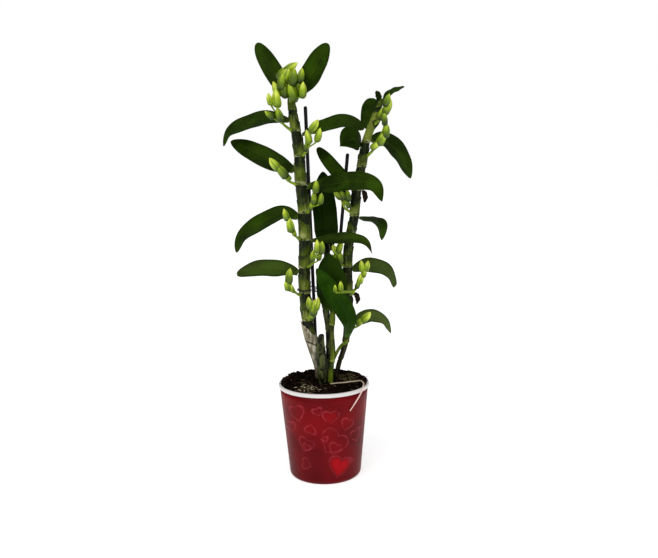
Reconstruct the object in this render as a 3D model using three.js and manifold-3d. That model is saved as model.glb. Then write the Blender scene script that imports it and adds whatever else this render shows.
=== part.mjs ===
// A dendrobium orchid in bud, growing in its pot: two tall leafy canes, a bare old cane, a cut stub and
// a young shoot on one creeping rhizome, tied to thin stakes in a bark mix.
// Millimetres, +Z up, front toward -Y. The origin is the centre of the pot's flat base.
import * as THREE from "three";
import { mergeVertices } from "three/addons/utils/BufferGeometryUtils.js";
import Module from "manifold-3d";

const wasm = await Module();
wasm.setup();

// Pot: a moulded tapered cup with a thick rolled rim, and a printed sleeve round its wall.
const POT_HEIGHT = 125;
const RIM_RADIUS = 60;
const RIM_HEIGHT = 5;
const WALL_TOP_RADIUS = 58.2;
const WALL_BASE_RADIUS = 47;
const WALL = 1.6;
const FLOOR = 2;
const FOOT_ROUND = 6;
const DRAIN_HOLES = 6;
const DRAIN_RADIUS = 4;
const DRAIN_CIRCLE = 28;
const SLEEVE = 0.5;
const POT_SIDES = 36;

// Potting mix: almost fills the pot, a little mounded round the plant and heaped up toward the back.
const MIX_LEVEL = 119.5;
const MIX_MOUND = { x: 4, y: 12, height: 3, spread: 26 };
const MIX_HEAP = { from: -20, to: 42, height: 5 };
const MIX_LUMP = 0.8;
const MIX_SIDES = 22;

// The gap kept between neighbouring solids.
const GAP = 0.35;

// Stems as rows of [x, y, height, radius] along the centre line.
const STEMS = {
  left: [
    [-4, 17, 118, 4.6],
    [-6, 15, 142, 5.2],
    [-13, 12, 170, 6.4],
    [-19, 9, 197, 7.2],
    [-22, 6, 227, 7.5],
    [-23, 4, 262, 7.8],
    [-21.5, 3, 302, 7.9],
    [-21.5, 2, 352, 7.8],
    [-25, 1, 392, 7.5],
    [-26, 0, 427, 7],
    [-30, -1, 457, 6.4],
    [-34, -2, 487, 5.2],
    [-35, -2, 499, 3.6],
  ],
  right: [
    [16, 22, 118, 3.2],
    [20, 20, 142, 3.4],
    [28, 17, 167, 4],
    [33, 14, 197, 5.4],
    [34, 12, 242, 6.2],
    [34, 10, 287, 6.4],
    [37, 9, 314, 6.3],
    [43, 8, 340, 6.2],
    [47, 7, 377, 6.4],
    [54, 6, 410, 6.2],
    [59, 6, 436, 5.6],
    [67, 6, 459, 4.8],
    [76, 6, 480, 4],
    [81, 6, 493, 2.8],
  ],
  middle: [
    [6, 21, 118, 3.8],
    [7, 21, 147, 4.3],
    [8, 19, 174, 4.4],
    [7, 17, 197, 4.2],
    [4, 16, 222, 4.6],
    [4, 15, 257, 4.6],
    [8, 14, 300, 3.6],
    [9, 14, 308, 2.4],
  ],
  stub: [
    [-2, 1, 118, 4.4],
    [-2.5, 0, 134, 6],
    [-2.5, -1, 150, 6.6],
    [-3, -1, 166, 6.2],
    [-3, 0, 180, 4.6],
    [-2, 0, 190, 3.6],
  ],
  shoot: [
    [8, 4, 118, 3.6],
    [10, 3, 142, 3.4],
    [13, 2, 164, 3],
    [12, 3, 192, 2.8],
    [13, 4, 210, 3.8],
    [13, 4, 224, 3],
  ],
  shoot_branch: [
    [13, 2, 154, 2],
    [22, -3, 172, 2.2],
    [34, -9, 183, 2.4],
  ],
};

// Heights of the ringed joints on each stem.
const JOINTS = {
  left: [150, 177, 208, 245, 279, 315, 350, 386, 422, 454, 480],
  right: [152, 178, 208, 243, 278, 312, 345, 378, 408, 438, 464, 482],
  middle: [142, 167, 192, 224, 260, 292],
  stub: [144, 166],
  shoot: [152, 201],
};

// Stakes run straight from deep in the mix, as [x, y, height, radius] rows.
const STAKES = {
  stake_left: [
    [-7.4, 31, 36, 0.8],
    [-7.6, 30.6, 46, 2.3],
    [-17, 5, 483, 2.3],
    [-17, 5, 485, 1.6],
  ],
  stake_right: [
    [-3, 42, 36, 0.8],
    [-2, 41.5, 46, 2.3],
    [36.5, 23, 423, 2.3],
    [36.5, 23, 425, 1.6],
  ],
};

// Leaves: the stem and height they grow from, the compass angle they leave at, how far the blade
// turns its upper side to the front, its width, how pointed its tip is, and its midrib as [out, up]
// from the stem's centre.
const LEAVES = [
  ["left_leaf_1", "left", 270, 168, 56, 25, 0.5, [[23, 4], [60, 6], [93, -2]]],
  ["left_leaf_2", "left", 313, -24, 44, 19, 1.7, [[36, 3], [70, 4], [86, -1], [95, -18]]],
  ["left_leaf_3", "left", 343, 160, 60, 27, 0.5, [[31, 5], [63, -8], [88, -24], [100, -47]]],
  ["left_leaf_4", "left", 383, -22, 62, 27, 0.8, [[38, 2], [74, 6], [99, 1], [109, -19]]],
  ["left_leaf_5", "left", 403, 158, 60, 28, 0.6, [[28, 7], [56, 21], [99, 41]]],
  ["left_leaf_6", "left", 448, -20, 56, 22, 0.45, [[34, 9], [65, 15], [90, 5]]],
  ["left_leaf_7", "left", 466, 164, 56, 25, 0.7, [[38, 4], [66, -2], [88, -11], [98, -29]]],
  ["left_leaf_8", "left", 498, 158, 76, 24, 0.5, [[15, 18], [46, 67]]],
  ["left_leaf_9", "left", 495.5, -12, 82, 29, 0.5, [[22, 19], [49, 63.5]]],
  ["middle_leaf_1", "middle", 298, 106, 0, 33, 0.6, [[8, 34], [15, 66], [15, 104]]],
  ["shoot_leaf_1", "shoot_branch", 186.5, 194, 88, 26, 0.6, [[1, 22], [10, 44], [23, 63], [42, 93]]],
  ["shoot_leaf_2", "shoot", 220, -106, 0, 41, 0.9, [[7, 22], [9, 48], [14, 79]]],
  ["right_leaf_1", "right", 200, 20, 40, 23, 0.4, [[14, 1], [31, 7], [50, 1], [63, -18]]],
  ["right_leaf_2", "right", 272, 24, 58, 23, 0.35, [[34, 4], [59, -5], [71, -27]]],
  ["right_leaf_3", "right", 342, -38, 12, 22, 0.9, [[22, -3], [37, -5], [43, -12], [43, -28]]],
  ["right_leaf_4", "right", 380, 162, 66, 18, 0.45, [[19, 13], [35, 31], [53, 53]]],
  ["right_leaf_5", "right", 432, 215, 66, 34, 1.5, [[13, 8], [26, 9], [40, 1]]],
  ["right_leaf_6", "right", 440, 20, 66, 30, 0.6, [[26, -1], [46, -17], [63, -49]]],
  ["right_leaf_7", "right", 454, 80, 0, 26, 0.45, [[11, 15], [16, 41]]],
  ["right_leaf_8", "right", 488, 16, 30, 12, 0.6, [[12, 11], [32, 20]]],
  ["right_leaf_9", "right", 489, 165, 30, 12, 0.6, [[4, 6], [6, 14]]],
  ["right_bract_1", "right", 239, -10, 40, 9, 0.9, [[10, 1], [12.5, -5], [11.5, -12]]],
  ["right_bract_2", "right", 377, -24, 40, 8, 0.9, [[10, -3], [11.5, -9], [10.5, -16]]],
];
const LEAF_THICKNESS = 1.2;
const LEAF_FOLD = 0.22;
const LEAF_TWIST = { start: 0.6, end: 0.45 };
const LEAF_CLEARANCE = 2.2;
const LEAF_STEPS = 14;
const LEAF_STRIPS = 4;

// Flower buds: the stem, height and compass angle of each cluster's stalk, then each bud as
// [out, side, up, lean, tilt, length]: its middle, measured from the stem's centre, and the angles
// that it leans outward and tilts to the side.
const CLUSTERS = [
  ["left_buds_1", "left", 208, -72, [
    [13, 3, 9, 10, 4, 15],
    [14, 5, 17, 6, 6, 24],
    [15, 9, 22, 10, 12, 20],
    [14, -1, 24, 0, -4, 18],
  ]],
  ["left_buds_2", "left", 241, 222, [
    [24, 1, 13, 14, 0, 13],
    [30, 0, 17, 12, 0, 17],
    [27, 1, 28, -6, 0, 22],
  ]],
  ["left_buds_3", "left", 279, -54, [
    [21, -1, 16, 4, 8, 16],
    [31, -1, 29, 4, 0, 18],
    [34, 4, 27, 6, 4, 18],
    [26, 6, 16, 10, 14, 14],
  ]],
  ["left_buds_4", "left", 315, 216, [
    [17, 0, 11, 16, 0, 13],
    [23, 1, 20, 12, 0, 22],
    [28, -1, 33, 22, 0, 18],
  ]],
  ["left_buds_5", "left", 350, -59, [
    [18, 0, 8, 14, 0, 12],
    [23, 2, 19, 6, -4, 17],
    [30, 1, 33, 4, 6, 18],
    [28, 9, 18, 8, 8, 16],
  ]],
  ["left_buds_6", "left", 386, 214, [
    [21, 0, 11, 48, 0, 15],
    [29, 1, 17, 44, 0, 24],
    [38, -1, 26, 46, 0, 22],
  ]],
  ["left_buds_7", "left", 422, -54, [
    [18, -1, 12, 14, 4, 15],
    [25, -3, 23, 2, -14, 19],
    [34, 0, 36, 20, 30, 20],
    [36, 5, 25, 10, 14, 19],
  ]],
  ["left_buds_8", "left", 454, 212, [
    [25, 3, 19, 22, 0, 20],
    [36, -2, 19, 60, 0, 16],
    [28, 2, 39, 10, 0, 24],
    [36, -1, 38, 16, 0, 16],
  ]],
  ["left_buds_9", "left", 489, 262, [
    [14, 4, 11, 4, -18, 26],
    [18, 18, 13, 6, 4, 21],
    [11, -17, 16, 4, -20, 21],
    [15, -9, 24, 2, 10, 23],
    [10, -8, 36, 0, 46, 22],
    [10, 2, 42, 0, 58, 21],
    [15, 6, 29, 4, 8, 24],
    [12, 15, 31, 2, 10, 20],
    [8, 10, 21, 4, 0, 21],
    [12, -3, 34, 0, 20, 22],
    [13, -7, 14, 4, -12, 21],
  ]],
  ["right_buds_1", "right", 194, -40, [[21, 1, 11, 52, 0, 17], [33, -1, 19, 48, 0, 20]]],
  ["right_buds_2", "right", 243, -40, [
    [17, 0, 12, 26, 0, 14],
    [21, 1, 20, 24, 0, 18],
    [24, 0, 36, -4, -4, 17],
    [29, 4, 36, 16, 8, 16],
    [26, 2, 28, 14, 4, 15],
  ]],
  ["right_buds_3", "right", 240, -70, [[34, -23, 17, 0, 0, 14], [35, -31, 14.5, 0, 0, 11]]],
  ["right_buds_4", "right", 278, 214, [
    [14, 3, 13, 8, 0, 18],
    [16, 6, 27, -14, 10, 18],
    [20, 1, 23, 34, 0, 17],
    [18, -1, 12, 50, 0, 15],
  ]],
  ["right_buds_5", "right", 349, 214, [
    [14, 3, 12, 36, 0, 15],
    [27, 1, 23, 50, 0, 17],
    [21, 2, 23, 34, 0, 17],
    [15, 6, 22, 12, 0, 17],
  ]],
  ["right_buds_6", "right", 420, -38, [
    [20, 0, 14, 60, 0, 18],
    [29, 1, 21, 34, 0, 20],
    [35, 2, 31, 10, 0, 19],
    [34, 0, 45, 2, 0, 16],
  ]],
  ["right_buds_7", "right", 460, -38, [
    [14, 2, 14, 30, 8, 18],
    [18, 1, 11, 44, 8, 17],
    [22, 4, 21, 24, 16, 22],
    [24, 0, 29, 26, 4, 18],
  ]],
];
const BUD_RADIUS = 0.235; // of its length
const STALK_RADIUS = 1.5;
const STALKLET_RADIUS = 1.1;

// The wire tie round the left cane and its stake, and the dry sheath round the left cane's foot.
const TIE_HEIGHT = 249;
const TIE_WIRE_RADIUS = 0.9;
const TIE_CLEARANCE = 2;
const TIE_TAIL = [[-13, 1, 249], [-9, -1, 247], [2, -4, 246]];
const SHEATH_BOTTOM = 127;
const SHEATH_TOP = 195;
const SHEATH_CLEARANCE = 1.6;
const SHEATH_THICKNESS = 0.6;
const SHEATH_SLANT = 1.2;

// Each joint of a stem swells by this much, from below it to above it.
const JOINT_SWELL = 0.6;
const JOINT_BELOW = 4;
const JOINT_ABOVE = 3;

// Rhizome: the creeping stem just under the mix that joins every cane, and the roots below it.
const RHIZOME_HEIGHT = 112.6;
const RHIZOME_RADIUS = 4.6;
const RHIZOME_RUNS = [
  [[-11, 15], [-2, 18], [8, 20], [20, 22]],
  [[2, 19], [-2, 11], [-3, 1]],
  [[4, 19], [8, 11], [9, 1]],
];
const ROOT_RADIUS = 1.6;
const ROOT_ANGLES = [-165, -115, -65, -20, 20];
const ROOT_MIDDLE = { x: 4, y: 12 };
const ROOT_COURSE = [[4, RHIZOME_HEIGHT], [18, 100], [28, 68], [31, 30]];

// The pale root that lies over the mix and hangs over the rim.
const AERIAL_ROOT = [
  [6, -3, 122.2], [16, -1.5, 122.8], [28, -1.2, 123.6],
  [40, -1, 124.8], [48, -5, 126.6], [51.3, -17, 127.8],
  [51.6, -28, 128.2], [50.4, -35.9, 126.8], [49.6, -37.4, 124],
  [46.4, -41.2, 118.4], [40, -44.8, 109], [32.8, -49.2, 99.5],
];
const AERIAL_ROOT_RADIUS = 1.1;
const ROOT_ON_MIX = 6; // its points that lie on the mix

const PAINT = {
  pot: new THREE.MeshStandardMaterial({ color: 0xf2f0ec, roughness: 0.4 }),
  sleeve: new THREE.MeshStandardMaterial({ color: 0x8a1420, roughness: 0.45 }),
  mix: new THREE.MeshStandardMaterial({ color: 0x2a1c12, roughness: 0.95 }),
  cane: new THREE.MeshStandardMaterial({ color: 0x5d7020, roughness: 0.55 }),
  oldCane: new THREE.MeshStandardMaterial({ color: 0x5c4c38, roughness: 0.75 }),
  sheath: new THREE.MeshStandardMaterial({ color: 0x9a9078, roughness: 0.8 }),
  leaf: new THREE.MeshStandardMaterial({ color: 0x1f4a10, roughness: 0.4 }),
  youngLeaf: new THREE.MeshStandardMaterial({ color: 0x2f6b18, roughness: 0.4 }),
  bud: new THREE.MeshStandardMaterial({ color: 0x9dbe35, roughness: 0.5 }),
  root: new THREE.MeshStandardMaterial({ color: 0xd8cdbc, roughness: 0.7 }),
  stake: new THREE.MeshStandardMaterial({ color: 0x101012, roughness: 0.5 }),
};

const radians = THREE.MathUtils.degToRad;
const smooth = (low, high, value) => THREE.MathUtils.smoothstep(value, low, high);

// A closed geometry as a manifold solid, and back.
function solidOf(geometry) {
  const bare = new THREE.BufferGeometry();
  bare.setAttribute("position", geometry.getAttribute("position"));
  if (geometry.index) bare.setIndex(geometry.index);
  const merged = mergeVertices(bare, 1e-3);
  return new wasm.Manifold(new wasm.Mesh({
    numProp: 3,
    vertProperties: merged.attributes.position.array,
    triVerts: new Uint32Array(merged.index.array),
  }));
}

function geometryOf(solid) {
  const mesh = solid.getMesh();
  const geometry = new THREE.BufferGeometry();
  geometry.setAttribute("position", new THREE.BufferAttribute(mesh.vertProperties, 3));
  geometry.setIndex(new THREE.BufferAttribute(mesh.triVerts, 1));
  geometry.computeVertexNormals();
  return geometry;
}

const joined = (geometries) => geometryOf(geometries.map(solidOf).reduce((sum, next) => sum.add(next)));
const cut = (geometry, tools) =>
  geometryOf(tools.map(solidOf).reduce((rest, tool) => rest.subtract(tool), solidOf(geometry)));

// One column of a stem's rows at a height, as a smooth curve through the rows.
function column(rows, index, height) {
  const last = rows.length - 1;
  const z = THREE.MathUtils.clamp(height, rows[0][2], rows[last][2]);
  let i = 0;
  while (i < last - 1 && z > rows[i + 1][2]) i += 1;
  const slope = (k) => {
    const a = rows[Math.max(k - 1, 0)];
    const b = rows[Math.min(k + 1, last)];
    return (b[index] - a[index]) / (b[2] - a[2]);
  };
  const span = rows[i + 1][2] - rows[i][2];
  const t = (z - rows[i][2]) / span;
  return (
    rows[i][index] * (1 + 2 * t) * (1 - t) ** 2 +
    slope(i) * span * t * (1 - t) ** 2 +
    rows[i + 1][index] * t * t * (3 - 2 * t) +
    slope(i + 1) * span * t * t * (t - 1)
  );
}

// A stem turned upright on the lathe, then every level slice slid onto the centre line.
// It swells at the joints, and grow widens it all round and lengthens its ends.
function stem(rows, joints = [], sides = 8, grow = 0) {
  const bottom = rows[0][2];
  const top = rows[rows.length - 1][2];
  const heights = rows.map((row) => row[2]);
  for (const joint of joints) heights.push(joint - JOINT_BELOW, joint, joint + JOINT_ABOVE);
  const inside = heights.filter((z) => z > bottom + 2 && z < top - 2).sort((a, b) => a - b);
  const levels = [bottom, ...inside.filter((z, i) => i === 0 || z - inside[i - 1] > 1.5), top];
  const profile = [new THREE.Vector2(0, bottom - 3 * grow)];
  for (const z of levels) {
    const ring = joints.some((joint) => Math.abs(joint - z) < 1) ? JOINT_SWELL : 0;
    const end = z === bottom ? -3 * grow : z === top ? grow : 0;
    profile.push(new THREE.Vector2(column(rows, 3, z) + ring + grow, z + end));
  }
  profile.push(new THREE.Vector2(0, top + grow));
  const geometry = new THREE.LatheGeometry(profile, sides);
  const position = geometry.getAttribute("position");
  for (let i = 0; i < position.count; i += 1) {
    const z = position.getY(i);
    const x = column(rows, 0, z) + position.getX(i);
    position.setXYZ(i, x, column(rows, 1, z) - position.getZ(i), z);
  }
  return geometry;
}

// A round rod swept along a list of points.
function rod(points, radius, sides = 6, steps = 8) {
  const path = new THREE.CatmullRomCurve3(points.map((point) => new THREE.Vector3(...point)));
  const section = new THREE.Shape();
  for (let i = 0; i < sides; i += 1) {
    const angle = (2 * Math.PI * i) / sides;
    section[i ? "lineTo" : "moveTo"](radius * Math.cos(angle), radius * Math.sin(angle));
  }
  return new THREE.ExtrudeGeometry(section, { steps, extrudePath: path, curveSegments: sides });
}

// A place on a stem: its centre, its radius there, and the outward, level and upward directions.
function placeOn(name, height, azimuth) {
  const rows = STEMS[name];
  const angle = radians(azimuth);
  return {
    centre: new THREE.Vector3(column(rows, 0, height), column(rows, 1, height), height),
    radius: column(rows, 3, height),
    out: new THREE.Vector3(Math.cos(angle), Math.sin(angle), 0),
    level: new THREE.Vector3(-Math.sin(angle), Math.cos(angle), 0),
    up: new THREE.Vector3(0, 0, 1),
  };
}

// A leaf's width along its midrib, as a share of its greatest: it widens fast from a clasping base,
// and closes at the tip, bluntly where point is small.
function leafShare(s, point) {
  const base = 0.42 + 0.58 * Math.sin((Math.min(s / 0.3, 1) * Math.PI) / 2);
  const past = Math.max((s - 0.45) / 0.55, 0);
  return base * Math.max((1 - past ** 2.2) ** point, 0.08);
}

// A strap leaf: a thin slab bent along its midrib, folded into a shallow channel and twisted.
function leaf([, name, height, azimuth, turn, width, point, path]) {
  const at = placeOn(name, height, azimuth);
  const start = [at.radius + LEAF_CLEARANCE, 0];
  const points = [start, ...path].map(([out, up]) =>
    at.centre.clone().addScaledVector(at.out, out).addScaledVector(at.up, up));
  const midrib = new THREE.CatmullRomCurve3(points, false, "catmullrom", 0.5);
  const fullTwist = radians(turn) * (at.out.x >= 0 ? 1 : -1);
  const geometry = new THREE.BoxGeometry(1, 1, 1, LEAF_STEPS, LEAF_STRIPS, 1);
  const position = geometry.getAttribute("position");
  for (let i = 0; i < position.count; i += 1) {
    const s = position.getX(i) + 0.5;
    const v = position.getY(i) * 2;
    const along = midrib.getTangentAt(s);
    const normal = along.clone().cross(at.level);
    const twist = fullTwist * THREE.MathUtils.lerp(LEAF_TWIST.start, 1, smooth(0, LEAF_TWIST.end, s));
    const across = at.level.clone().multiplyScalar(Math.cos(twist))
      .addScaledVector(normal, Math.sin(twist));
    const face = along.clone().cross(across);
    const half = (width * leafShare(s, point)) / 2;
    const lift = LEAF_FOLD * half * Math.abs(v) ** 1.5 + position.getZ(i) * LEAF_THICKNESS;
    const place = midrib.getPointAt(s).addScaledVector(across, v * half).addScaledVector(face, lift);
    position.setXYZ(i, place.x, place.y, place.z);
  }
  return geometry;
}

// A bud: an egg drawn out to its tip, with the chin of the closed flower near its foot.
function bud(middle, direction, length) {
  const radius = BUD_RADIUS * length;
  const geometry = new THREE.SphereGeometry(1, 5, 4);
  const position = geometry.getAttribute("position");
  for (let i = 0; i < position.count; i += 1) {
    const y = position.getY(i);
    const swell = radius * (1 - 0.25 * y);
    position.setXYZ(i, position.getX(i) * swell, (y * length) / 2, position.getZ(i) * swell);
  }
  const turn = new THREE.Quaternion().setFromUnitVectors(new THREE.Vector3(0, 1, 0), direction);
  return geometry.applyQuaternion(turn).translate(...middle);
}

// A cluster: a short stalk from the stem's surface, and a thin stalklet from it to each bud.
function cluster([, name, height, azimuth, buds]) {
  const at = placeOn(name, height, azimuth);
  const place = (out, side, up) =>
    at.centre.clone()
      .addScaledVector(at.out, out)
      .addScaledVector(at.level, side)
      .addScaledVector(at.up, up);
  const reach = Math.max(...buds.map(([out]) => out));
  const rise = Math.max(...buds.map(([, , up]) => up));
  const stalk = new THREE.CatmullRomCurve3([
    place(at.radius + 1.6, 0, 0),
    place(at.radius + 0.4 * (reach - at.radius), 0, 0.22 * rise),
    place(at.radius + 0.6 * (reach - at.radius), 0, 0.5 * rise),
  ]);
  const pieces = [rod(stalk.getSpacedPoints(3).map((point) => point.toArray()), STALK_RADIUS, 5, 3)];
  for (const [out, side, up, lean, tilt, length] of buds) {
    const direction = at.up.clone().multiplyScalar(Math.cos(radians(lean)))
      .addScaledVector(at.out, Math.sin(radians(lean)))
      .addScaledVector(at.level, Math.tan(radians(tilt)))
      .normalize();
    const middle = place(out, side, up);
    const foot = middle.clone().addScaledVector(direction, -0.42 * length);
    const root = stalk.getPointAt(THREE.MathUtils.clamp(up / rise, 0.3, 0.95));
    const knee = root.clone().lerp(foot, 0.6).addScaledVector(at.out, 1);
    pieces.push(rod([root.toArray(), knee.toArray(), foot.toArray()], STALKLET_RADIUS, 4, 2));
    pieces.push(bud(middle, direction, length));
  }
  return joined(pieces);
}

// The pot's wall radius at a height, on its outside.
const WALL_SLOPE = (WALL_TOP_RADIUS - WALL_BASE_RADIUS) / (POT_HEIGHT - FOOT_ROUND);
const wallAt = (height) => WALL_BASE_RADIUS + WALL_SLOPE * (height - FOOT_ROUND);

// A quarter round from the flat base up into the wall, as [radius, height] points.
function footCurve(radius, lift) {
  const points = [];
  for (let i = 0; i <= 3; i += 1) {
    const angle = (i / 3) * (Math.PI / 2);
    points.push([
      WALL_BASE_RADIUS - FOOT_ROUND + radius * Math.sin(angle),
      lift + FOOT_ROUND - radius * Math.cos(angle),
    ]);
  }
  return points;
}

function lathe(points, sides = POT_SIDES) {
  const profile = points.map(([radius, height]) => new THREE.Vector2(radius, height));
  return new THREE.LatheGeometry(profile, sides).rotateX(Math.PI / 2);
}

function pot() {
  const under = POT_HEIGHT - RIM_HEIGHT;
  const inner = (height) => wallAt(height) - WALL;
  const cup = lathe([
    [0, 0],
    ...footCurve(FOOT_ROUND, 0),
    [wallAt(under), under],
    [RIM_RADIUS - 0.6, under],
    [RIM_RADIUS, under + 1.2],
    [RIM_RADIUS, POT_HEIGHT - 1.4],
    [RIM_RADIUS - 1.2, POT_HEIGHT],
    [inner(POT_HEIGHT) + 1, POT_HEIGHT],
    [inner(under), under - 1],
    ...footCurve(FOOT_ROUND - WALL, 0).reverse().map(([r, z]) => [r, Math.max(z, FLOOR)]),
    [0, FLOOR],
  ]);
  const drains = [];
  for (let i = 0; i < DRAIN_HOLES; i += 1) {
    const angle = (2 * Math.PI * i) / DRAIN_HOLES;
    drains.push(new THREE.CylinderGeometry(DRAIN_RADIUS, DRAIN_RADIUS, 4 * FLOOR, 8)
      .rotateX(Math.PI / 2)
      .translate(DRAIN_CIRCLE * Math.cos(angle), DRAIN_CIRCLE * Math.sin(angle), 0));
  }
  return cut(cup, drains);
}

function sleeve() {
  const skin = (offset, height) => [wallAt(height) + offset, height];
  const top = POT_HEIGHT - RIM_HEIGHT - GAP;
  const foot = (offset) => footCurve(FOOT_ROUND + offset, 0).slice(1);
  return lathe([
    ...foot(GAP + SLEEVE),
    skin(GAP + SLEEVE, top),
    skin(GAP, top),
    ...foot(GAP).reverse(),
    foot(GAP + SLEEVE)[0],
  ]);
}

// The mix's top: a low mound, the heap toward the back, and slow waves for the lumps of bark.
function mixTop(x, y) {
  const away = Math.hypot(x - MIX_MOUND.x, y - MIX_MOUND.y) / MIX_MOUND.spread;
  const mound = MIX_MOUND.height * Math.exp(-(away ** 2));
  const heap = MIX_HEAP.height * smooth(MIX_HEAP.from, MIX_HEAP.to, y);
  const lumps = Math.sin(0.31 * x + 1.3) * Math.cos(0.27 * y) + 0.6 * Math.sin(0.19 * (x + y) + 2);
  return MIX_LEVEL + mound + heap + MIX_LUMP * lumps;
}

function pottingMix(tools) {
  const floor = FLOOR + GAP;
  const radiusAt = (height) => wallAt(height) - WALL - GAP;
  const foot = footCurve(FOOT_ROUND - WALL - GAP, 0).map(([r, z]) => [r, Math.max(z, floor)]);
  const top = MIX_LEVEL - 2;
  const rings = [1, 0.8, 0.6, 0.4, 0.2].map((share) => [radiusAt(top) * share, top]);
  const geometry = lathe([[0, floor], ...foot, ...rings, [0, top]], MIX_SIDES);
  const position = geometry.getAttribute("position");
  for (let i = 0; i < position.count; i += 1) {
    const x = position.getX(i);
    const y = position.getY(i);
    if (position.getZ(i) > top - 1) position.setZ(i, mixTop(x, y));
  }
  return cut(geometry, tools);
}

// The rhizome's three runs and the roots that go down from it, all one body.
function rhizome(grow) {
  const runs = RHIZOME_RUNS.map((run) =>
    rod(run.map(([x, y]) => [x, y, RHIZOME_HEIGHT]), RHIZOME_RADIUS + grow, 7, 4));
  const roots = ROOT_ANGLES.map((degrees) => {
    const angle = radians(degrees);
    const course = ROOT_COURSE.map(([out, z]) =>
      [ROOT_MIDDLE.x + out * Math.cos(angle), ROOT_MIDDLE.y + out * Math.sin(angle), z]);
    return rod(course, ROOT_RADIUS + grow, 4, 4);
  });
  return joined([...runs, ...roots]);
}

// The tie: a wire loop round the left cane and its stake, and a twisted tail pointing right. The
// loop is a ring round the cane whose stake side is drawn out to the stake and in to its size.
function tie() {
  const cane = placeOn("left", TIE_HEIGHT, 0);
  const reach = cane.radius + TIE_CLEARANCE;
  const alongX = column(STAKES.stake_left, 0, TIE_HEIGHT) - cane.centre.x;
  const alongY = column(STAKES.stake_left, 1, TIE_HEIGHT) - cane.centre.y;
  const far = Math.hypot(alongX, alongY);
  const toStake = Math.atan2(alongY, alongX);
  const narrower = cane.radius - column(STAKES.stake_left, 3, TIE_HEIGHT) - TIE_CLEARANCE;
  const loop = new THREE.TorusGeometry(1, TIE_WIRE_RADIUS, 5, 20);
  const position = loop.getAttribute("position");
  for (let i = 0; i < position.count; i += 1) {
    const angle = Math.atan2(position.getY(i), position.getX(i));
    const fromRing = Math.hypot(position.getX(i), position.getY(i)) - 1;
    const radius = reach - narrower * Math.max(Math.cos(angle), 0) + fromRing;
    const x = radius * Math.cos(angle) + far * smooth(-0.3, 0.3, Math.cos(angle));
    const y = radius * Math.sin(angle);
    position.setXYZ(
      i,
      cane.centre.x + x * Math.cos(toStake) - y * Math.sin(toStake),
      cane.centre.y + x * Math.sin(toStake) + y * Math.cos(toStake),
      TIE_HEIGHT + position.getZ(i),
    );
  }
  return joined([loop, rod(TIE_TAIL, TIE_WIRE_RADIUS, 6, 4)]);
}

// The dry papery sheath that still wraps the left cane's foot, its top edge cut on a slant.
function baseSheath() {
  const rows = STEMS.left;
  const rise = SHEATH_TOP - SHEATH_BOTTOM;
  const heights = [0, 0.2, 0.4, 0.6, 0.8, 1].map((share) => SHEATH_BOTTOM + rise * share);
  const shell = (offset) => heights.map((z) => new THREE.Vector2(column(rows, 3, z) + offset, z));
  const outside = shell(SHEATH_CLEARANCE + SHEATH_THICKNESS);
  const inside = shell(SHEATH_CLEARANCE).reverse();
  const geometry = new THREE.LatheGeometry([...outside, ...inside, outside[0]], 10);
  const position = geometry.getAttribute("position");
  for (let i = 0; i < position.count; i += 1) {
    const share = (position.getY(i) - SHEATH_BOTTOM) / rise;
    const z = position.getY(i) - SHEATH_SLANT * position.getX(i) * share ** 3;
    const x = column(rows, 0, z) + position.getX(i);
    position.setXYZ(i, x, column(rows, 1, z) - position.getZ(i), z);
  }
  return geometry;
}

const orchid = new THREE.Group();

function add(name, geometry, material) {
  const mesh = new THREE.Mesh(geometry, material);
  mesh.name = name;
  orchid.add(mesh);
}

const rootTool = rod(AERIAL_ROOT.slice(0, ROOT_ON_MIX), AERIAL_ROOT_RADIUS + GAP, 5, 8);
const stemTools = ["left", "right", "middle", "stub", "shoot"].map((name) => stem(STEMS[name], [], 8, GAP));
const stakeTools = Object.values(STAKES).map((rows) => stem(rows, [], 8, GAP));

add("pot", pot(), PAINT.pot);
add("pot_sleeve", sleeve(), PAINT.sleeve);
add("potting_mix", pottingMix([...stemTools, ...stakeTools, rhizome(GAP), rootTool]), PAINT.mix);
add("rhizome", rhizome(0), PAINT.root);
add("aerial_root", rod(AERIAL_ROOT, AERIAL_ROOT_RADIUS, 5, 24), PAINT.root);
add("cane_left", stem(STEMS.left, JOINTS.left), PAINT.cane);
add("cane_right", stem(STEMS.right, JOINTS.right), PAINT.cane);
add("cane_middle", stem(STEMS.middle, JOINTS.middle), PAINT.oldCane);
add("cane_stub", stem(STEMS.stub, JOINTS.stub), PAINT.oldCane);
add("cane_left_sheath", baseSheath(), PAINT.sheath);
add("young_shoot", joined([
  stem(STEMS.shoot, JOINTS.shoot),
  rod(STEMS.shoot_branch.map(([x, y, z]) => [x, y, z]), 2.2, 6, 5),
]), PAINT.bud);
for (const [name, rows] of Object.entries(STAKES)) add(name, stem(rows, [], 8), PAINT.stake);
add("cane_tie", tie(), PAINT.stake);
for (const entry of LEAVES) {
  const young = entry[1].startsWith("shoot");
  add(entry[0], leaf(entry), young ? PAINT.youngLeaf : PAINT.leaf);
}
for (const entry of CLUSTERS) add(entry[0], cluster(entry), PAINT.bud);

export default orchid;
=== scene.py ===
"""A dendrobium orchid in bud in its pot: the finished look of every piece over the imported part.
Metres, +Z up, front toward -Y, the origin in the middle of the pot's base."""

import math

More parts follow.
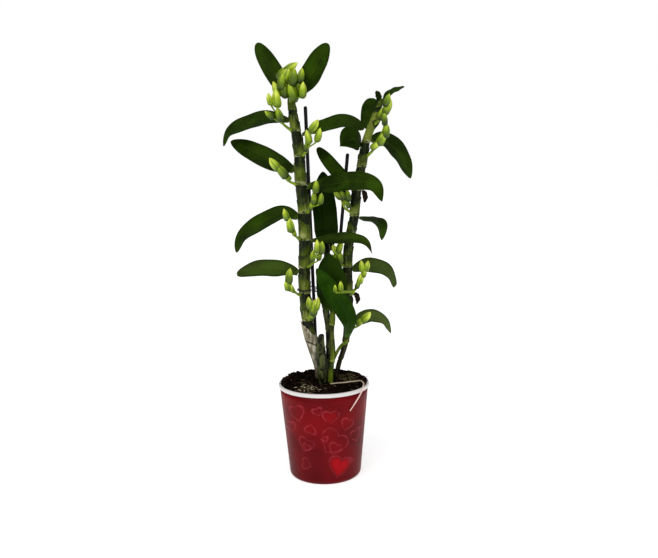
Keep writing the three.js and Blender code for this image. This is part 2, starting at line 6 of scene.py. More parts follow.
import bpy
import numpy as np
from mathutils import Matrix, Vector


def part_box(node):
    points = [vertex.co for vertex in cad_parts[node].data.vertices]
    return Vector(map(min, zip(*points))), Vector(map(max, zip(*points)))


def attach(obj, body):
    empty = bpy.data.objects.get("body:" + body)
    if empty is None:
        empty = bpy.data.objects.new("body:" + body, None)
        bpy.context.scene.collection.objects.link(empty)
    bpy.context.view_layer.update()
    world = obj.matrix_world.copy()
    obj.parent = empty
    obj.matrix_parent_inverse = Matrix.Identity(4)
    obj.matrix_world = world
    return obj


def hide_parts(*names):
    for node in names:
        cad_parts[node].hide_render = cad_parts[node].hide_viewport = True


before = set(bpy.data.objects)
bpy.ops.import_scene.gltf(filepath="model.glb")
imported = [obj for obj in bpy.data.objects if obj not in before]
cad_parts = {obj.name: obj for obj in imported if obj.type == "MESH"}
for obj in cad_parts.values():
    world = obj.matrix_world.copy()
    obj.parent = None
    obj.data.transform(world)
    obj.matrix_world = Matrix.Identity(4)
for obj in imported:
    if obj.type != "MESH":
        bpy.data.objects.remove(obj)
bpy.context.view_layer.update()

scene = bpy.context.scene

# Camera: it stands a metre in front of the pot, a little above its middle, and looks slightly down.
# It is held a degree out of level, and its lens takes in the whole plant with room all round.
CAMERA_PLACE = (0.0092, -1.0, 0.407)
CAMERA_DOWN = math.radians(8.2)
CAMERA_ROLL = math.radians(-1.03)
CAMERA_LENS = 42.3

camera = bpy.data.objects.new("camera", bpy.data.cameras.new("camera"))
camera.data.lens = CAMERA_LENS
camera.data.clip_start = 0.05
camera.data.clip_end = 50
tilt = Matrix.Rotation(math.pi / 2 - CAMERA_DOWN, 4, "X") @ Matrix.Rotation(CAMERA_ROLL, 4, "Z")
camera.matrix_world = Matrix.Translation(CAMERA_PLACE) @ tilt
scene.collection.objects.link(camera)
scene.camera = camera

# Pot: a thin white moulded cup with a thick rolled rim and a rounded foot.
# Six drain holes go through its floor, and everything else stands in it.
MM = 0.001
rim_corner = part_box("pot")[1]
RIM_RADIUS = rim_corner.x
POT_HEIGHT = rim_corner.z
RIM_HEIGHT = 5 * MM
RIM_ROLL = 1.6 * MM
UNDER_ROLL = 0.8 * MM
WALL_TOP = 58.2 * MM
WALL_BASE = 47 * MM
WALL = 1.6 * MM
FLOOR = 2 * MM
FOOT_ROUND = 6 * MM
DRAIN_HOLES = 6
DRAIN_RADIUS = 4 * MM
DRAIN_CIRCLE = 28 * MM
POT_SIDES = 180
MIDDLE = 2 * MM


def shade(colour):
    """A colour as the eye sees it, 0 to 255, in the renderer's linear light: each share to the power
    2.2. The output of a node stays as it is."""
    if isinstance(colour, bpy.types.NodeSocket):
        return colour
    return (*((value / 255) ** 2.2 for value in colour), 1.0)


def finish(name, colour, roughness, shine=0.5, **sockets):
    """A material with one shader, whose plain values are set on the shader's own sockets."""
    made = bpy.data.materials.new(name)
    made.use_nodes = True
    shader = made.node_tree.nodes["Principled BSDF"]
    sockets |= {"Base_Color": shade(colour), "Roughness": roughness, "Specular_IOR_Level": shine}
    for socket, value in sockets.items():
        shader.inputs[socket.replace("_", " ")].default_value = value
    return made


def add(material, kind, settings=(), **inputs):
    """One node: each input is a plain value, or the output of another node that is linked to it."""
    tree = getattr(material, "node_tree", None) or material
    made = tree.nodes.new("ShaderNode" + kind)
    for setting, value in dict(settings).items():
        setattr(made, setting, value)
    for name, value in inputs.items():
        socket = made.inputs[int(name[1:])] if name[0] == "_" else made.inputs[name.replace("_", " ")]
        if isinstance(value, bpy.types.NodeSocket):
            tree.links.new(value, socket)
        else:
            socket.default_value = value
    return made


def calc(material, operation, *values):
    """One sum on numbers."""
    inputs = {f"_{i}": value for i, value in enumerate(values)}
    return add(material, "Math", {"operation": operation}, **inputs).outputs[0]


def between(material, value, low, high):
    """0 below low, 1 above high, and a smooth step from one to the other; high may be below low."""
    step = {"interpolation_type": "SMOOTHSTEP"}
    return add(material, "MapRange", step, Value=value, From_Min=low, From_Max=high).outputs[0]


def blend(material, share, first, second, most=1.0):
    """The first colour where share is 0, and where it is 1 as much as most of the second over it."""
    if most < 1:
        share = calc(material, "MULTIPLY", share, most)
    kind = {"data_type": "RGBA", "clamp_factor": True}
    return add(material, "Mix", kind, _0=share, _6=shade(first), _7=shade(second)).outputs[2]


def layered(material, colour, *stains):
    """A colour with stains laid over it one by one; each gives where, its own colour and how much."""
    for share, stain, most in stains:
        colour = blend(material, share, colour, stain, most)
    return colour


def ramp(material, share, *stops):
    """Colours at places from 0 to 1, with an even change between neighbours."""
    made = add(material, "ValToRGB", Fac=share)
    elements = made.color_ramp.elements
    while len(elements) < len(stops):
        elements.new(1)
    for element, (place, colour) in zip(elements, stops, strict=True):
        element.position = place
        element.color = shade(colour)
    return made.outputs[0]


def noise(material, scale, detail=3, stretch=(1, 1, 1)):
    """Cloudy noise from 0 to 1 in the piece's own place; a stretch under 1 draws it out that way."""
    place = add(material, "TexCoord").outputs["Object"]
    drawn = add(material, "Mapping", Vector=place, Scale=stretch).outputs[0]
    return add(material, "TexNoise", Vector=drawn, Scale=scale, Detail=detail).outputs[0]


def mark(material, name):
    """A number kept on the mesh at each of its points."""
    return add(material, "Attribute", {"attribute_name": name}).outputs["Fac"]


def dress(material, colour, height, depth, **sockets):
    """Links a colour and other patterns to the shader's sockets, and a height pattern through a bump
    of that depth in millimetres."""
    shader = material.node_tree.nodes["Principled BSDF"]
    bump = add(material, "Bump", Height=height, Distance=depth * MM).outputs[0]
    for socket, value in {"Base_Color": colour, "Normal": bump, **sockets}.items():
        material.node_tree.links.new(value, shader.inputs[socket.replace("_", " ")])
    return material


def shell(rings, joined=False, **marks):
    """A closed skin over a grid of points whose rows are rings. Four-cornered faces join each ring
    to the next; a fan closes each end on its ring's middle, or the last ring joins the first. The
    faces are turned over if the volume they enclose, the sum of corner products, is negative."""
    rings = np.asarray(rings, float)
    count, sides = rings.shape[:2]

    def listed(values):
        """The values ring after ring, and then the mean of each end ring where fans need it."""
        flat = values.reshape(count * sides, *values.shape[2:])
        return flat if joined else np.concatenate([flat, values[[0, -1]].mean(1)])

    row, side = np.mgrid[: count if joined else count - 1, :sides]
    low, high, right = row * sides, (row + 1) % count * sides, (side + 1) % sides
    quads = np.stack([low + side, low + right, high + right, high + side], -1).reshape(-1, 4)
    fans = np.zeros((0, 3), int)
    if not joined:
        here, there = side[0], right[0]
        start = np.stack([0 * here + count * sides, there, here], -1)
        last = (count - 1) * sides
        stop = np.stack([0 * here + count * sides + 1, last + here, last + there], -1)
        fans = np.vstack([start, stop])
    points = listed(rings)
    triangles = np.vstack([quads[:, :3], quads[:, [0, 2, 3]], fans])
    a, b, c = (points[triangles[:, k]] for k in range(3))
    if np.einsum("ij,ij->", a, np.cross(b, c)) < 0:
        quads, fans = quads[:, ::-1], fans[:, ::-1]
    marks = {name: listed(np.broadcast_to(values, (count, sides))) for name, values in marks.items()}
    return {"points": points, "quads": quads, "fans": fans, "marks": marks}


def piece(name, shells, material, slot, *nodes, smooth=True):
    """Joins shells in one mesh, which rides on the plant's one body and stands for its nodes."""
    starts = np.cumsum([0] + [len(made["points"]) for made in shells])
    points = np.vstack([made["points"] for made in shells])
    quads = np.vstack([made["quads"] + start for made, start in zip(shells, starts)])
    fans = np.vstack([made["fans"] + start for made, start in zip(shells, starts)])
    corners = np.concatenate([quads.ravel(), fans.ravel()]).astype(np.int32)
    sizes = np.repeat([4, 3], [len(quads), len(fans)])
    mesh = bpy.data.meshes.new(name)
    mesh.vertices.add(len(points))
    mesh.vertices.foreach_set("co", points.astype(np.float32).ravel())
    mesh.loops.add(len(corners))
    mesh.loops.foreach_set("vertex_index", corners)
    mesh.polygons.add(len(sizes))
    mesh.polygons.foreach_set("loop_start", (np.cumsum(sizes) - sizes).astype(np.int32))
    mesh.polygons.foreach_set("use_smooth", np.full(len(sizes), smooth))
    mesh.update(calc_edges=True)
    for key in shells[0]["marks"]:
        values = np.concatenate([made["marks"][key] for made in shells])
        mesh.attributes.new(key, "FLOAT", "POINT").data.foreach_set("value", values.astype(np.float32))
    mesh.materials.append(material)
    made = bpy.data.objects.new(name, mesh)
    scene.collection.objects.link(made)
    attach(made, "root")
    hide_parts(*nodes)
    return made


def all_round(sides):
    """Angles at even steps round a circle."""
    return np.linspace(0, 2 * np.pi, sides, endpoint=False)


def around(x, y, height, radius, turn):
    """Points that far from an upright line at x and y, at those heights and angles."""
    x, y = x + radius * np.cos(turn), y + radius * np.sin(turn)
    return np.stack([x, y, np.broadcast_to(height, x.shape)], -1)


def turned(profile, sides=POT_SIDES):
    """A profile of [radius, height] points carried round the Z axis."""
    profile = np.asarray(profile, float)
    return around(0, 0, profile[:, 1:], profile[:, :1], all_round(sides))


def arc(radius, height, size, start, stop, count):
    """Points on a circle of that size about [radius, height], from one angle to another in degrees."""
    turn = np.radians(np.linspace(start, stop, count))
    return np.column_stack([radius + size * np.cos(turn), height + size * np.sin(turn)])


def wall_at(height):
    """The wall's outside radius: a straight taper from the top of the foot to the rim."""
    return WALL_BASE + (WALL_TOP - WALL_BASE) * (height - FOOT_ROUND) / (POT_HEIGHT - FOOT_ROUND)


under_rim = POT_HEIGHT - RIM_HEIGHT
foot_middle = WALL_BASE - FOOT_ROUND
roll_middle = RIM_RADIUS - RIM_ROLL
up_the_wall = np.linspace(FOOT_ROUND, under_rim, 14)[1:]
down_inside = np.linspace(under_rim - RIM_ROLL, FOOT_ROUND, 12)
inside_foot = arc(foot_middle, FOOT_ROUND, FOOT_ROUND - WALL, 0, -90, 8)
inside_foot[:, 1] = np.maximum(inside_foot[:, 1], FLOOR)
pot_profile = np.vstack([
    [[MIDDLE, 0], [DRAIN_CIRCLE, 0]],
    arc(foot_middle, FOOT_ROUND, FOOT_ROUND, -90, 0, 10),
    np.column_stack([wall_at(up_the_wall), up_the_wall]),
    arc(RIM_RADIUS - UNDER_ROLL, under_rim + UNDER_ROLL, UNDER_ROLL, -90, 0, 6),
    arc(roll_middle, POT_HEIGHT - RIM_ROLL, RIM_ROLL, 0, 180, 18),
    np.column_stack([wall_at(down_inside) - WALL, down_inside]),
    inside_foot,
    [[DRAIN_CIRCLE, FLOOR], [MIDDLE, FLOOR]],
])

plastic = finish("pot_plastic", (229, 224, 222), 0.36)
pot_white = blend(plastic, noise(plastic, 60, 4), (224, 219, 217), (234, 230, 228))
soil_dust = between(plastic, noise(plastic, 420, 5), 0.62, 0.8)
pot_white = blend(plastic, soil_dust, pot_white, (180, 157, 133), 0.35)
dress(plastic, pot_white, noise(plastic, 700, 3), 0.06)

pot_cup = piece("pot_cup", [shell(turned(pot_profile))], plastic, "pot_white", "pot")
drill_rings = turned([[DRAIN_RADIUS, -FLOOR], [DRAIN_RADIUS, 3 * FLOOR]], 32)
drills = [shell(drill_rings + place) for place in around(0, 0, 0, DRAIN_CIRCLE, all_round(DRAIN_HOLES))]
drill = piece("drain_drill", drills, plastic, "pot_white", "pot")
drains = pot_cup.modifiers.new("drains", "BOOLEAN")
drains.object = drill
bpy.context.view_layer.objects.active = pot_cup
bpy.ops.object.modifier_apply(modifier="drains")
bpy.data.objects.remove(drill)

# Sleeve: a thin printed plastic skin, wrapped round the wall from the foot to the rim and lapped
# at the back. It is satin red with a loose print of hearts, and painted shade darkens it toward the foot.
GAP = 0.35 * MM
SLEEVE = 0.5 * MM
PRINT_RADIUS = 53 * MM
PRINT_REPEATS = 3
PRINT_LINE = 2.1
PRINT_TONE = (186, 66, 80)
HEART_SQUAT = 0.72
HEART_NOTCH = 0.85
# Each heart: degrees from the front, height, half its width, lean in degrees, and how full its red is.
HEARTS = [
    [9, 55, 19, -38, 0.1], [13, 48, 9, -30, 0.3], [1, 63, 4, 20, 0.2], [21, 20, 17, -16, 1.0],
    [41, 28, 4.5, -30, 0.3], [8, 91, 10, -4, 0.45], [-19, 79, 7.5, 168, 0.15],
    [31, 79, 9, -24, 0.2], [-29, 52, 11, -20, 0.05], [-27, 50, 5.5, -20, 0.25],
    [-38, 93, 12, 16, 0.05], [-27, 27, 8, 74, 0.1], [-8, 100, 6, 20, 0.05], [50, 60, 10, 10, 0.1],
    [-52, 72, 9, 8, 0.1],
]


def heart_group():
    """A printed heart of half width 1 about the origin: with x across and y up, its edge is where
    x squared plus (y less the notch times the root of |x|) squared is 1. Gives its line and inside."""
    group = bpy.data.node_groups.new("heart", "ShaderNodeTree")
    sockets = {"Place": "INPUT", "Line width": "INPUT", "Line": "OUTPUT", "Inside": "OUTPUT"}
    for name, way in sockets.items():
        kind = "NodeSocketVector" if name == "Place" else "NodeSocketFloat"
        group.interface.new_socket(name, in_out=way, socket_type=kind)
    given = group.nodes.new("NodeGroupInput").outputs
    made = group.nodes.new("NodeGroupOutput").inputs
    parts = add(group, "SeparateXYZ", Vector=given["Place"]).outputs
    root = calc(group, "SQRT", calc(group, "ABSOLUTE", parts["X"]))
    lift = calc(group, "MULTIPLY_ADD", root, -HEART_NOTCH, parts["Y"])
    far = calc(group, "SQRT", calc(group, "MULTIPLY_ADD", lift, lift, calc(group, "POWER", parts["X"], 2.0)))
    off = calc(group, "ABSOLUTE", calc(group, "SUBTRACT", far, 1.0))
    line = between(group, calc(group, "DIVIDE", off, given["Line width"]), 1.0, 0.1)
    group.links.new(line, made["Line"])
    group.links.new(between(group, far, 1.08, 0.5), made["Inside"])
    return group


def printed(material, background):
    """Lays every heart over the background: the print repeats round the pot, and a place on it is
    the arc walked from the front and the height. Gives the angle and the height too."""
    parts = add(material, "SeparateXYZ", Vector=add(material, "TexCoord").outputs["Object"]).outputs
    angle = calc(material, "ARCTAN2", parts["X"], calc(material, "MULTIPLY", parts["Y"], -1.0))
    share = calc(material, "MULTIPLY_ADD", angle, PRINT_REPEATS / (2 * math.pi), 0.5)
    repeat = calc(material, "SUBTRACT", calc(material, "FLOORED_MODULO", share, 1.0), 0.5)
    walked = calc(material, "MULTIPLY", repeat, 2 * math.pi * PRINT_RADIUS / PRINT_REPEATS)
    place = add(material, "CombineXYZ", X=walked, Y=parts["Z"]).outputs[0]
    worn = between(material, noise(material, 90, 3), 0.28, 0.56)
    group = heart_group()
    colour = background
    for degrees, height, size, lean, full in HEARTS:
        onto = add(
            material,
            "Mapping",
            {"vector_type": "TEXTURE"},
            Vector=place,
            Location=(math.radians(degrees) * PRINT_RADIUS, height * MM, 0),
            Rotation=(0, 0, math.radians(lean)),
            Scale=(size * MM, size * HEART_SQUAT * MM, 1),
        ).outputs[0]
        heart = add(material, "Group", {"node_tree": group}, _0=onto, _1=PRINT_LINE / size).outputs
        red = (140 + 60 * full, 12, 26)
        colour = blend(material, heart["Inside"], colour, red, 0.05 + 0.8 * full**1.5)
        colour = blend(material, calc(material, "MULTIPLY", heart["Line"], worn), colour, PRINT_TONE, 0.36)
    return colour, angle, parts["Z"]


satin = finish("sleeve_print", (110, 11, 19), 0.42, 0.08)
cloud = between(satin, noise(satin, 24, 4), 0.3, 0.7)
red = blend(satin, cloud, (97, 9, 17), (124, 12, 21))
red, angle, height = printed(satin, red)
# Painted shade: the red darkens toward the foot of the pot.
red = blend(satin, between(satin, height, 0.1, 0.0), red, (64, 6, 16), 0.42)
lap = between(satin, calc(satin, "ABSOLUTE", angle), 2.98, 2.99)
grain = calc(satin, "MULTIPLY_ADD", noise(satin, 900, 2), 0.2, lap)
dress(satin, red, grain, 0.12)

sleeve_top = under_rim - GAP
sleeve_rise = np.linspace(FOOT_ROUND, sleeve_top, 16)
sleeve_profile = np.vstack([
    arc(foot_middle, FOOT_ROUND, FOOT_ROUND + GAP + SLEEVE, -60, 0, 9)[:-1],
    np.column_stack([wall_at(sleeve_rise) + GAP + SLEEVE, sleeve_rise]),
    np.column_stack([wall_at(sleeve_rise) + GAP, sleeve_rise])[::-1],
    arc(foot_middle, FOOT_ROUND, FOOT_ROUND + GAP, 0, -60, 9)[1:],
])
piece("sleeve_skin", [shell(turned(sleeve_profile), joined=True)], satin, "sleeve_red", "pot_sleeve")

# Potting mix: damp dark bark and peat, filled almost to the rim, a little mounded at the plant and
# heaped toward the back. Loose bark lies on it, most against the rim, with a tuft of dry moss.
MIX_LEVEL = 119.5
MIX_MOUND = 3
MIX_MIDDLE = (4, 12)
MIX_SPREAD = 26
MIX_HEAP = 5
MIX_LUMP = 0.8
random = np.random.default_rng(7)


def smooth_step(low, high, value):
    """0 below low, 1 above high, and between them three of the share squared less two of it cubed."""
    t = np.clip((value - low) / (high - low), 0, 1)
    return t * t * (3 - 2 * t)


def mix_top(x, y):
    """The mix's height in millimetres: a low bell-shaped mound, a heap that rises smoothly toward
    the back, and slow waves for its lumps."""
    away = np.hypot(x - MIX_MIDDLE[0], y - MIX_MIDDLE[1])
    mound = MIX_MOUND * np.exp(-((away / MIX_SPREAD) ** 2))
    heap = MIX_HEAP * smooth_step(-20, 42, y)
    lumps = np.sin(0.31 * x + 1.3) * np.cos(0.27 * y) + 0.6 * np.sin(0.19 * (x + y) + 2)
    return MIX_LEVEL + mound + heap + MIX_LUMP * lumps


def crumbs(x, y):
    """Finer roughness in millimetres: waves in five directions, each shorter and lower than the last."""
    total = np.zeros_like(x)
    for step in range(5):
        turn = 1.1 * step
        size = 0.55 * 1.55**step
        total += 0.5 * 0.72**step * np.sin(size * (x * np.cos(turn) + y * np.sin(turn)) + 2.3 * step)
    return total


inside = np.column_stack([wall_at(down_inside) - WALL - GAP, down_inside])[::-1]
inside = inside[inside[:, 1] < (MIX_LEVEL - 3) * MM]
mix_base = np.vstack([[[MIDDLE, FLOOR + GAP], [foot_middle, FLOOR + GAP]], inside])
mix_edge = wall_at(MIX_LEVEL * MM) - WALL - GAP
mix_radii = np.linspace(mix_edge, MIDDLE / 2, 90)
mix_level = np.full(90, MIX_LEVEL * MM)
mix_rings = turned(np.vstack([mix_base, np.column_stack([mix_radii, mix_level])]), 260)
surface = mix_rings[len(mix_base):]
x, y = surface[..., 0] / MM, surface[..., 1] / MM
rough = crumbs(x, y) + random.normal(0, 0.16, x.shape)
rough *= np.clip((mix_edge - mix_radii) / (3 * MM), 0, 1)[:, None]
surface[..., 2] = (mix_top(x, y) + rough) * MM

bark_mix = finish("bark_mix", (26, 20, 17), 0.95, 0.04)
earths = [(0.34, (4, 3, 3)), (0.54, (18, 14, 10)), (0.66, (42, 31, 22)), (0.78, (100, 83, 62))]
earth = ramp(bark_mix, noise(bark_mix, 340, 6), *earths)
dress(bark_mix, earth, noise(bark_mix, 500, 6), 0.9)
piece("bark_mix", [shell(mix_rings)], bark_mix, "bark_mix", "potting_mix")


def spun(axis, angles):
    """A rotation for each angle about that axis: its cosine and sine in the rows of the other two."""
    turns = np.tile(np.eye(3), (len(angles), 1, 1))
    first, second = (axis + 1) % 3, (axis + 2) % 3
    turns[:, first, first] = turns[:, second, second] = np.cos(angles)
    turns[:, second, first] = np.sin(angles)
    turns[:, first, second] = -np.sin(angles)
    return turns


def scattered(count, sizes, reach, middle=(0, 0), rise=0.3, inner=0.0, sweep=(0, 360)):
    """Rough flakes strewn over the mix. One flake is five rings of six points whose radius is the
    root of 1 less the square of the height; each copy is stretched, dented, tipped and laid down.
    They fill a ring, from a share of its area out, and a sweep in degrees."""
    level = np.array([-0.92, -0.5, 0, 0.5, 0.92])[:, None]
    flake = shell(around(0, 0, level, np.sqrt(1 - level**2), all_round(6)))
    low, high = np.array(sizes).T
    stretch = random.uniform(low, high, (count, 3))
    dents = random.uniform(0.72, 1.25, (count, len(flake["points"]), 1))
    points = flake["points"] * dents * stretch[:, None]
    yaw, tip, lean = random.uniform([0, -0.5, -0.5], [2 * np.pi, 0.5, 0.5], (count, 3)).T
    points = points @ (spun(2, yaw) @ spun(0, tip) @ spun(1, lean)).transpose(0, 2, 1)
    away = reach * np.sqrt(random.uniform(inner, 1, count))
    bearing = np.radians(random.uniform(*sweep, count))
    x = middle[0] + away * np.cos(bearing)
    y = middle[1] + away * np.sin(bearing)
    points += np.stack([x, y, mix_top(x, y) + rise], -1)[:, None]
    size = len(flake["points"])
    starts = (np.arange(count) * size)[:, None, None]
    tone = np.repeat(random.uniform(0, 1, count), size)
    return {
        "points": points.reshape(-1, 3) * MM,
        "quads": (flake["quads"] + starts).reshape(-1, 4),
        "fans": (flake["fans"] + starts).reshape(-1, 3),
        "marks": {"tone": tone},
    }


bark = finish("bark_chip", (50, 36, 26), 0.9, 0.05)
fleck = noise(bark, 600, 4, (1, 1, 3))
bark_tone = calc(bark, "MULTIPLY_ADD", fleck, 0.2, calc(bark, "MULTIPLY", mark(bark, "tone"), 0.8))
browns = [(0.12, (7, 6, 5)), (0.6, (28, 21, 16)), (0.84, (54, 38, 27)), (0.97, (138, 114, 86))]
dress(bark, ramp(bark, bark_tone, *browns), fleck, 0.4)
# Each kind of bark: how many flakes, the least and greatest half length, width and thickness, and
# how far out it lies. Heaped bark lies against the rim, at each rise over the mix in its sweep.
COARSE = (620, [[1.6, 4.6], [0.9, 2.4], [0.4, 1.0]], 52)
FINE = (1240, [[0.5, 1.5], [0.4, 1.0], [0.3, 0.7]], 54)
HEAPED = (130, [[1.8, 4.4], [1.0, 2.2], [0.8, 1.6]], 56)
HEAPED_FROM = 0.86
HEAPS = [(3.0, (-8, 12)), (2.6, (12, 50)), (1.6, (50, 130)), (2.6, (130, 168)), (3.0, (168, 188))]
flakes = [scattered(*COARSE), scattered(*FINE)]
flakes += [scattered(*HEAPED, (0, 0), rise, HEAPED_FROM, sweep) for rise, sweep in HEAPS]
piece("bark_chips", flakes, bark, "bark_mix", "potting_mix", smooth=False)


def smooth_path(points, shares):
    """Places on one smooth curve through the points, at those shares of its length: a uniform
    Catmull-Rom curve, its ends carried on straight, walked in 400 steps and read by distance."""
    points = np.asarray(points, float)
    held = np.vstack([2 * points[0] - points[1], points, 2 * points[-1] - points[-2]])
    at = np.linspace(0, len(points) - 1, 401)
    i = np.minimum(at.astype(int), len(points) - 2)
    t = (at - i)[:, None]
    p0, p1, p2, p3 = (held[i + k] for k in range(4))
    square, cube = 2 * p0 - 5 * p1 + 4 * p2 - p3, 3 * p1 - p0 - 3 * p2 + p3
    fine = 0.5 * (2 * p1 + (p2 - p0) * t + square * t**2 + cube * t**3)
    walked = np.concatenate([[0], np.cumsum(np.linalg.norm(np.diff(fine, axis=0), axis=1))])
    wanted = np.asarray(shares) * walked[-1]
    return np.stack([np.interp(wanted, walked, fine[:, k]) for k in range(3)], -1)


def unit(vectors):
    """Vectors of the same directions, each of length 1."""
    return vectors / np.linalg.norm(vectors, axis=-1, keepdims=True)


def circled(first, second, sides):
    """Points round a unit circle in the plane of two directions: cosines of one, sines of the other."""
    turn = all_round(sides)[:, None]
    return first[..., None, :] * np.cos(turn) + second[..., None, :] * np.sin(turn)


def tube(points, radius, sides, steps, **marks):
    """A round rod along a smooth path in millimetres, closed with rounded ends: each ring lies in
    the plane across the path, and near an end its radius follows a quarter circle."""
    length = np.linalg.norm(np.diff(points, axis=0), axis=1).sum()
    ends = np.array([0.03, 0.2, 0.5, 1]) * np.mean(radius) / length
    shares = np.concatenate([ends, np.linspace(ends[-1], 1 - ends[-1], steps)[1:-1], 1 - ends[::-1]])
    path = smooth_path(points, shares)
    along = unit(np.gradient(path, axis=0))
    level = unit(np.cross(along, np.eye(3)[np.argmin(np.abs(along).max(0))]))
    ring = circled(level, np.cross(along, level), sides)
    near = np.clip(np.minimum(shares, 1 - shares) / ends[-1], 0, 1)
    size = np.interp(shares, np.linspace(0, 1, np.size(radius)), np.atleast_1d(radius))
    size = size * np.sqrt(1 - (1 - near) ** 2)
    marks = {name: value(shares) if callable(value) else value for name, value in marks.items()}
    return shell((path[:, None] + size[:, None, None] * ring) * MM, **marks)


moss = finish("dry_moss", (157, 142, 112), 0.85, 0.1)
straws = [(0.0, (57, 50, 33)), (0.55, (107, 95, 69)), (1.0, (220, 206, 173))]
straw = ramp(moss, mark(moss, "tone"), *straws)
dress(moss, straw, noise(moss, 900, 3), 0.2)
FIBRES = 46
FIBRE_RADIUS = 0.5
TUFT_MIDDLE = np.array([-20, -20])
TUFT_SPREAD = [6.5, 12]
CRUMBLED = (90, [[1.0, 3.2], [0.6, 1.8], [0.4, 0.9]], 14, (33, 18), 1.0)
CRUMBLED_TONE = 0.5
moss_bits = []
for _ in range(FIBRES):
    x, y = TUFT_MIDDLE + random.normal(0, 1, 2) * TUFT_SPREAD
    bearing, length, rise = random.uniform(0, 2 * np.pi), random.uniform(4, 10), random.uniform(0, 0.35)
    reach = np.array([np.cos(bearing), np.sin(bearing), rise]) * length / 2
    bow = np.append(random.normal(0, 0.6, 2), random.uniform(0.1, 0.8))
    middle = np.array([x, y, mix_top(x, y) + 0.4 + abs(reach[2])])
    course = [middle - reach, middle + bow, middle + reach]
    moss_bits.append(tube(course, FIBRE_RADIUS, 5, 6, tone=random.uniform(0, 1)))
crumbled = scattered(*CRUMBLED)
crumbled["marks"]["tone"] *= CRUMBLED_TONE
piece("moss_tuft", [*moss_bits, crumbled], moss, "bark_mix", "potting_mix")

# Rhizome and aerial root: the creeping stem that joins the canes, buried in the mix, and one pale
# root that lies over the mix, crosses the rim and hangs down outside.
root_skin = finish("root_skin", (247, 245, 223), 0.6)
creams = [(0.3, (180, 159, 128)), (0.5, (235, 220, 197)), (0.7, (247, 247, 235))]
cream = ramp(root_skin, noise(root_skin, 260, 5), *creams)
dress(root_skin, cream, noise(root_skin, 500, 4), 0.3)
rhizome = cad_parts["rhizome"]
rhizome.data.materials.clear()
rhizome.data.materials.append(root_skin)

AERIAL_ROOT = [
    [6, -3, 122.2], [16, -1.5, 122.8], [28, -1.2, 123.6], [40, -1, 124.8], [48, -5, 126.6],
    [51.3, -17, 127.8], [51.6, -28, 128.2], [50.4, -35.9, 126.8], [49.6, -37.4, 124],
    [46.4, -41.2, 118.4], [40, -44.8, 109], [32.8, -49.2, 99.5],
]
ROOT_RADII = [0.95, 0.9, 1.0, 0.9, 0.95, 0.9, 0.85, 0.8, 0.55]
velamen = finish("aerial_root_skin", (247, 246, 228), 0.55)
blush = between(velamen, mark(velamen, "length"), 0.45, 0.75)
pale = blend(velamen, blush, (204, 187, 157), (247, 211, 199))
fleck = between(velamen, noise(velamen, 340, 4, (1, 1, 0.5)), 0.5, 0.75)
pale = blend(velamen, fleck, pale, (180, 152, 121), 0.5)
dress(velamen, pale, noise(velamen, 700, 4), 0.3)
root_tube = tube(AERIAL_ROOT, ROOT_RADII, 18, 110, length=lambda shares: shares[:, None])
piece("aerial_root_strand", [root_tube], velamen, "root_pale", "aerial_root")

# Canes: fleshy jointed stems that stand on the rhizome. The two tall ones are green, with a leaf
# sheath wrapped round each from every joint; the middle one and the cut stub are old and brown.
# Rows of x, y, height and radius along each stem's centre line.
STEMS = {
    "left": [
        [-4, 17, 118, 4.6], [-6, 15, 142, 5.2], [-13, 12, 170, 6.4], [-19, 9, 197, 7.2],
        [-22, 6, 227, 7.5], [-23, 4, 262, 7.8], [-21.5, 3, 302, 7.9], [-21.5, 2, 352, 7.8],
        [-25, 1, 392, 7.5], [-26, 0, 427, 7], [-30, -1, 457, 6.4], [-34, -2, 487, 5.2],
        [-35, -2, 499, 3.6],
    ],
    "right": [
        [16, 22, 118, 3.2], [20, 20, 142, 3.4], [28, 17, 167, 4], [33, 14, 197, 5.4],
        [34, 12, 242, 6.2], [34, 10, 287, 6.4], [37, 9, 314, 6.3], [43, 8, 340, 6.2],
        [47, 7, 377, 6.4], [54, 6, 410, 6.2], [59, 6, 436, 5.6], [67, 6, 459, 4.8], [76, 6, 480, 4],
        [81, 6, 493, 2.8],
    ],
    "middle": [
        [6, 21, 118, 3.8], [7, 21, 147, 4.3], [8, 19, 174, 4.4], [7, 17, 197, 4.2],
        [4, 16, 222, 4.6], [4, 15, 257, 4.6], [8, 14, 300, 3.6], [9, 14, 308, 2.4],
    ],
    "stub": [
        [-2, 1, 118, 4.4], [-2.5, 0, 134, 6], [-2.5, -1, 150, 6.6], [-3, -1, 166, 6.2],
        [-3, 0, 180, 4.6], [-2, 0, 190, 3.6],
    ],
    "shoot": [
        [8, 4, 118, 3.6], [10, 3, 142, 3.4], [13, 2, 164, 3], [12, 3, 192, 2.8], [13, 4, 210, 3.8],
        [13, 4, 224, 3],
    ],
    "shoot_branch": [
        [13, 2, 154, 2], [22, -3, 172, 2.2], [34, -9, 183, 2.4],
    ],
}
JOINTS = {
    "left": [150, 177, 208, 245, 279, 315, 350, 386, 422, 454, 480],
    "right": [152, 178, 208, 243, 278, 312, 345, 378, 408, 438, 464, 482],
    "middle": [142, 167, 192, 224, 260, 292],
    "stub": [144, 166],
    "shoot": [152, 201],
}


